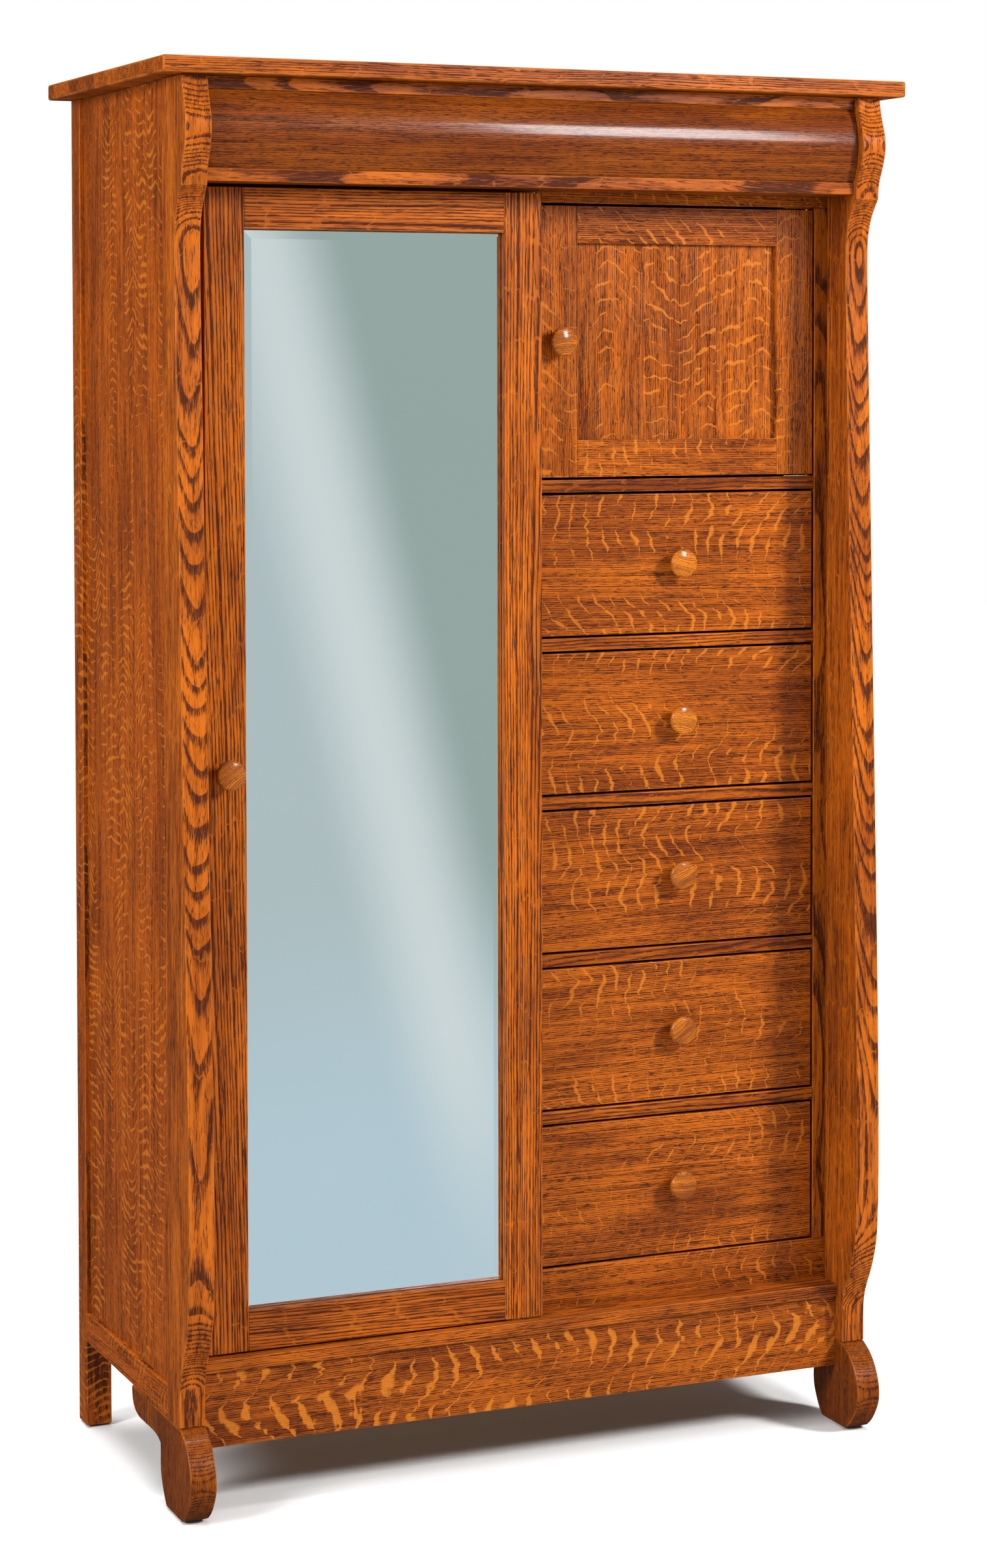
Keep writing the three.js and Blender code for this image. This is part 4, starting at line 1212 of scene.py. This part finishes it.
class ARMOIRE_OT_stage(bpy.types.Operator):
    """Makes the floor, the reflection card, the lights and the camera"""

    bl_idname = "armoire.stage"
    bl_label = "Stage"

    def execute(self, context):
        self.floor()
        self.card()
        self.world(context)
        self.lights()
        self.camera(context, context.scene.armoire_studio)
        context.scene.view_settings.view_transform = "Standard"
        return {"FINISHED"}

    def sheet(self, name, corners, look):
        mesh = bpy.data.meshes.new(name)
        mesh.from_pydata(corners, [], [(0, 1, 2, 3)])
        mesh.materials.append(bpy.data.materials[look])
        sheet = linked(name, mesh)
        return sheet

    def floor(self):
        """A pale floor that throws less light on the wood than it shows to the camera."""
        size, thrown = 14.0, (0.5, 0.5, 0.5, 1)
        tree, shader = material("studio floor")
        pale = blended(tree, mottle(tree, 2), (0.9, 0.9, 0.9, 1), (0.93, 0.93, 0.93, 1))
        seen = wired(tree, "ShaderNodeLightPath").outputs["Is Camera Ray"]
        fill(tree, shader, {"Base Color": blended(tree, seen, thrown, pale), "Roughness": 0.8,
                            "Specular IOR Level": 0.1})
        corners = [(-size, -size, 0), (size, -size, 0), (size, size, 0), (-size, size, 0)]
        self.sheet("floor", corners, "studio floor").visible_glossy = False

    def card(self):
        """A glowing card that only the mirror sees, a painted reflection: blue low down, grey green above, a
        slanting band of painted highlight.
        """
        reach, place, lean = 8.0, -1.05, 0.254
        shine_start, shine_middle, shine_end = 0.2, 0.345, 0.49
        low_blue, shine_white = (0.53, 0.66, 0.745, 1), (0.76, 0.80, 0.81, 1)
        left_grey, right_grey = (0.50, 0.58, 0.60, 1), (0.36, 0.44, 0.42, 1)
        tree, _ = material("graded card")
        tree.nodes.clear()
        x, _, z = wired(tree, "ShaderNodeSeparateXYZ", {0: own_place(tree)}).outputs
        slope = plus(tree, x, times(tree, z, lean))
        band = times(tree, smooth(tree, slope, shine_start, shine_middle),
                     smooth(tree, slope, shine_middle, shine_end, 1.0, 0.0))
        upper = blended(tree, smooth(tree, slope, 0.3, 0.5), left_grey, right_grey)
        colour = blended(tree, smooth(tree, z, 0.2, 0.75), low_blue, upper)
        shine = times(tree, band, smooth(tree, z, 0.0, 0.4, 0.1, 0.8))
        colour = blended(tree, shine, colour, shine_white)
        # The card glows with the painted reflection and shows only in the mirror.
        glow = wired(tree, "ShaderNodeEmission", {"Color": colour, "Strength": 1.0}).outputs[0]
        clear = wired(tree, "ShaderNodeBsdfTransparent").outputs[0]
        mirrored = wired(tree, "ShaderNodeLightPath").outputs["Is Singular Ray"]
        shown = wired(tree, "ShaderNodeMixShader", {0: mirrored, 1: clear, 2: glow}).outputs[0]
        wired(tree, "ShaderNodeOutputMaterial", {0: shown})
        corners = [(-reach, place, -reach), (reach, place, -reach), (reach, place, reach),
                   (-reach, place, reach)]
        card = self.sheet("painted_reflection_card", corners, "graded card")
        card.visible_camera = False
        card.visible_diffuse = False
        card.visible_shadow = False
        card.visible_transmission = False

    def world(self, context):
        """White to the camera, paler in the mirror, and faint on the wood and in its varnish."""
        on_wood, in_varnish, in_mirror = 0.2, 0.05, 0.75
        world = bpy.data.worlds.new("studio")
        context.scene.world = world
        world.use_nodes = True
        tree = world.node_tree
        tree.nodes.clear()
        path = wired(tree, "ShaderNodeLightPath").outputs
        strength = smooth(tree, path["Is Glossy Ray"], 0.0, 1.0, on_wood, in_varnish)
        mirrored = times(tree, path["Is Singular Ray"], in_mirror)
        strength = maths(tree, "MAXIMUM", strength, maths(tree, "MAXIMUM", mirrored, path["Is Camera Ray"]))
        sky = wired(tree, "ShaderNodeBackground", {"Color": (1, 1, 1, 1), "Strength": strength})
        wired(tree, "ShaderNodeOutputWorld", {0: sky.outputs[0]})

    def lights(self):
        sun = bpy.data.lights.new("overhead light", "SUN")
        sun.energy = 3.3
        sun.angle = math.radians(40)
        linked("overhead light", sun).rotation_euler = (math.radians(-7), 0, 0)
        for name, place, size, power, lighting, mirrored in LIGHTS:
            lamp = bpy.data.lights.new(name, "AREA")
            lamp.shape = "RECTANGLE"
            lamp.size, lamp.size_y = size
            lamp.energy = power
            holder = linked(name, lamp)
            holder.visible_diffuse = lighting
            holder.visible_glossy = mirrored
            holder.location = place
            holder.rotation_euler = (LIT_POINT - Vector(place)).to_track_quat("-Z", "Y").to_euler()

    def camera(self, context, studio):
        lens = bpy.data.cameras.new("camera")
        lens.lens = studio.lens
        lens.shift_x, lens.shift_y = studio.shift
        holder = linked("camera", lens)
        holder.location = studio.camera_place
        holder.rotation_euler = (math.pi / 2 - studio.camera_dip, 0, -studio.camera_turn)
        context.scene.camera = holder


OPERATORS = (
    ARMOIRE_OT_finishes,
    ARMOIRE_OT_posts,
    ARMOIRE_OT_sides,
    ARMOIRE_OT_top,
    ARMOIRE_OT_crown,
    ARMOIRE_OT_base,
    ARMOIRE_OT_face_frame,
    ARMOIRE_OT_inside,
    ARMOIRE_OT_mirror_door,
    ARMOIRE_OT_small_door,
    ARMOIRE_OT_drawers,
    ARMOIRE_OT_knobs,
    ARMOIRE_OT_pivots,
    ARMOIRE_OT_fastenings,
    ARMOIRE_OT_glides,
    ARMOIRE_OT_stage,
)


class ARMOIRE_PT_build(bpy.types.Panel):
    """Lists the armoire's settings and operators."""

    bl_label = "Armoire"
    bl_idname = "ARMOIRE_PT_build"
    bl_space_type = "VIEW_3D"
    bl_region_type = "UI"
    bl_category = "Armoire"

    def draw(self, context):
        column = self.layout.column()
        scene = context.scene
        for settings in (scene.armoire_joinery, scene.armoire_finish, scene.armoire_studio):
            for name in settings.__annotations__:
                column.prop(settings, name)
        for operator in OPERATORS:
            column.operator(operator.bl_idname)


SETTINGS = {
    "armoire_joinery": ARMOIRE_PG_Joinery,
    "armoire_finish": ARMOIRE_PG_Finish,
    "armoire_studio": ARMOIRE_PG_Studio,
}


def register():
    for name, group in SETTINGS.items():
        bpy.utils.register_class(group)
        setattr(bpy.types.Scene, name, bpy.props.PointerProperty(type=group))
    for operator in OPERATORS:
        bpy.utils.register_class(operator)
    bpy.utils.register_class(ARMOIRE_PT_build)


def unregister():
    bpy.utils.unregister_class(ARMOIRE_PT_build)
    for operator in reversed(OPERATORS):
        bpy.utils.unregister_class(operator)
    for name, group in SETTINGS.items():
        delattr(bpy.types.Scene, name)
        bpy.utils.unregister_class(group)


def main():
    register()
    for operator in OPERATORS:
        category, name = operator.bl_idname.split(".")
        getattr(getattr(bpy.ops, category), name)()


if __name__ == "__main__":
    main()
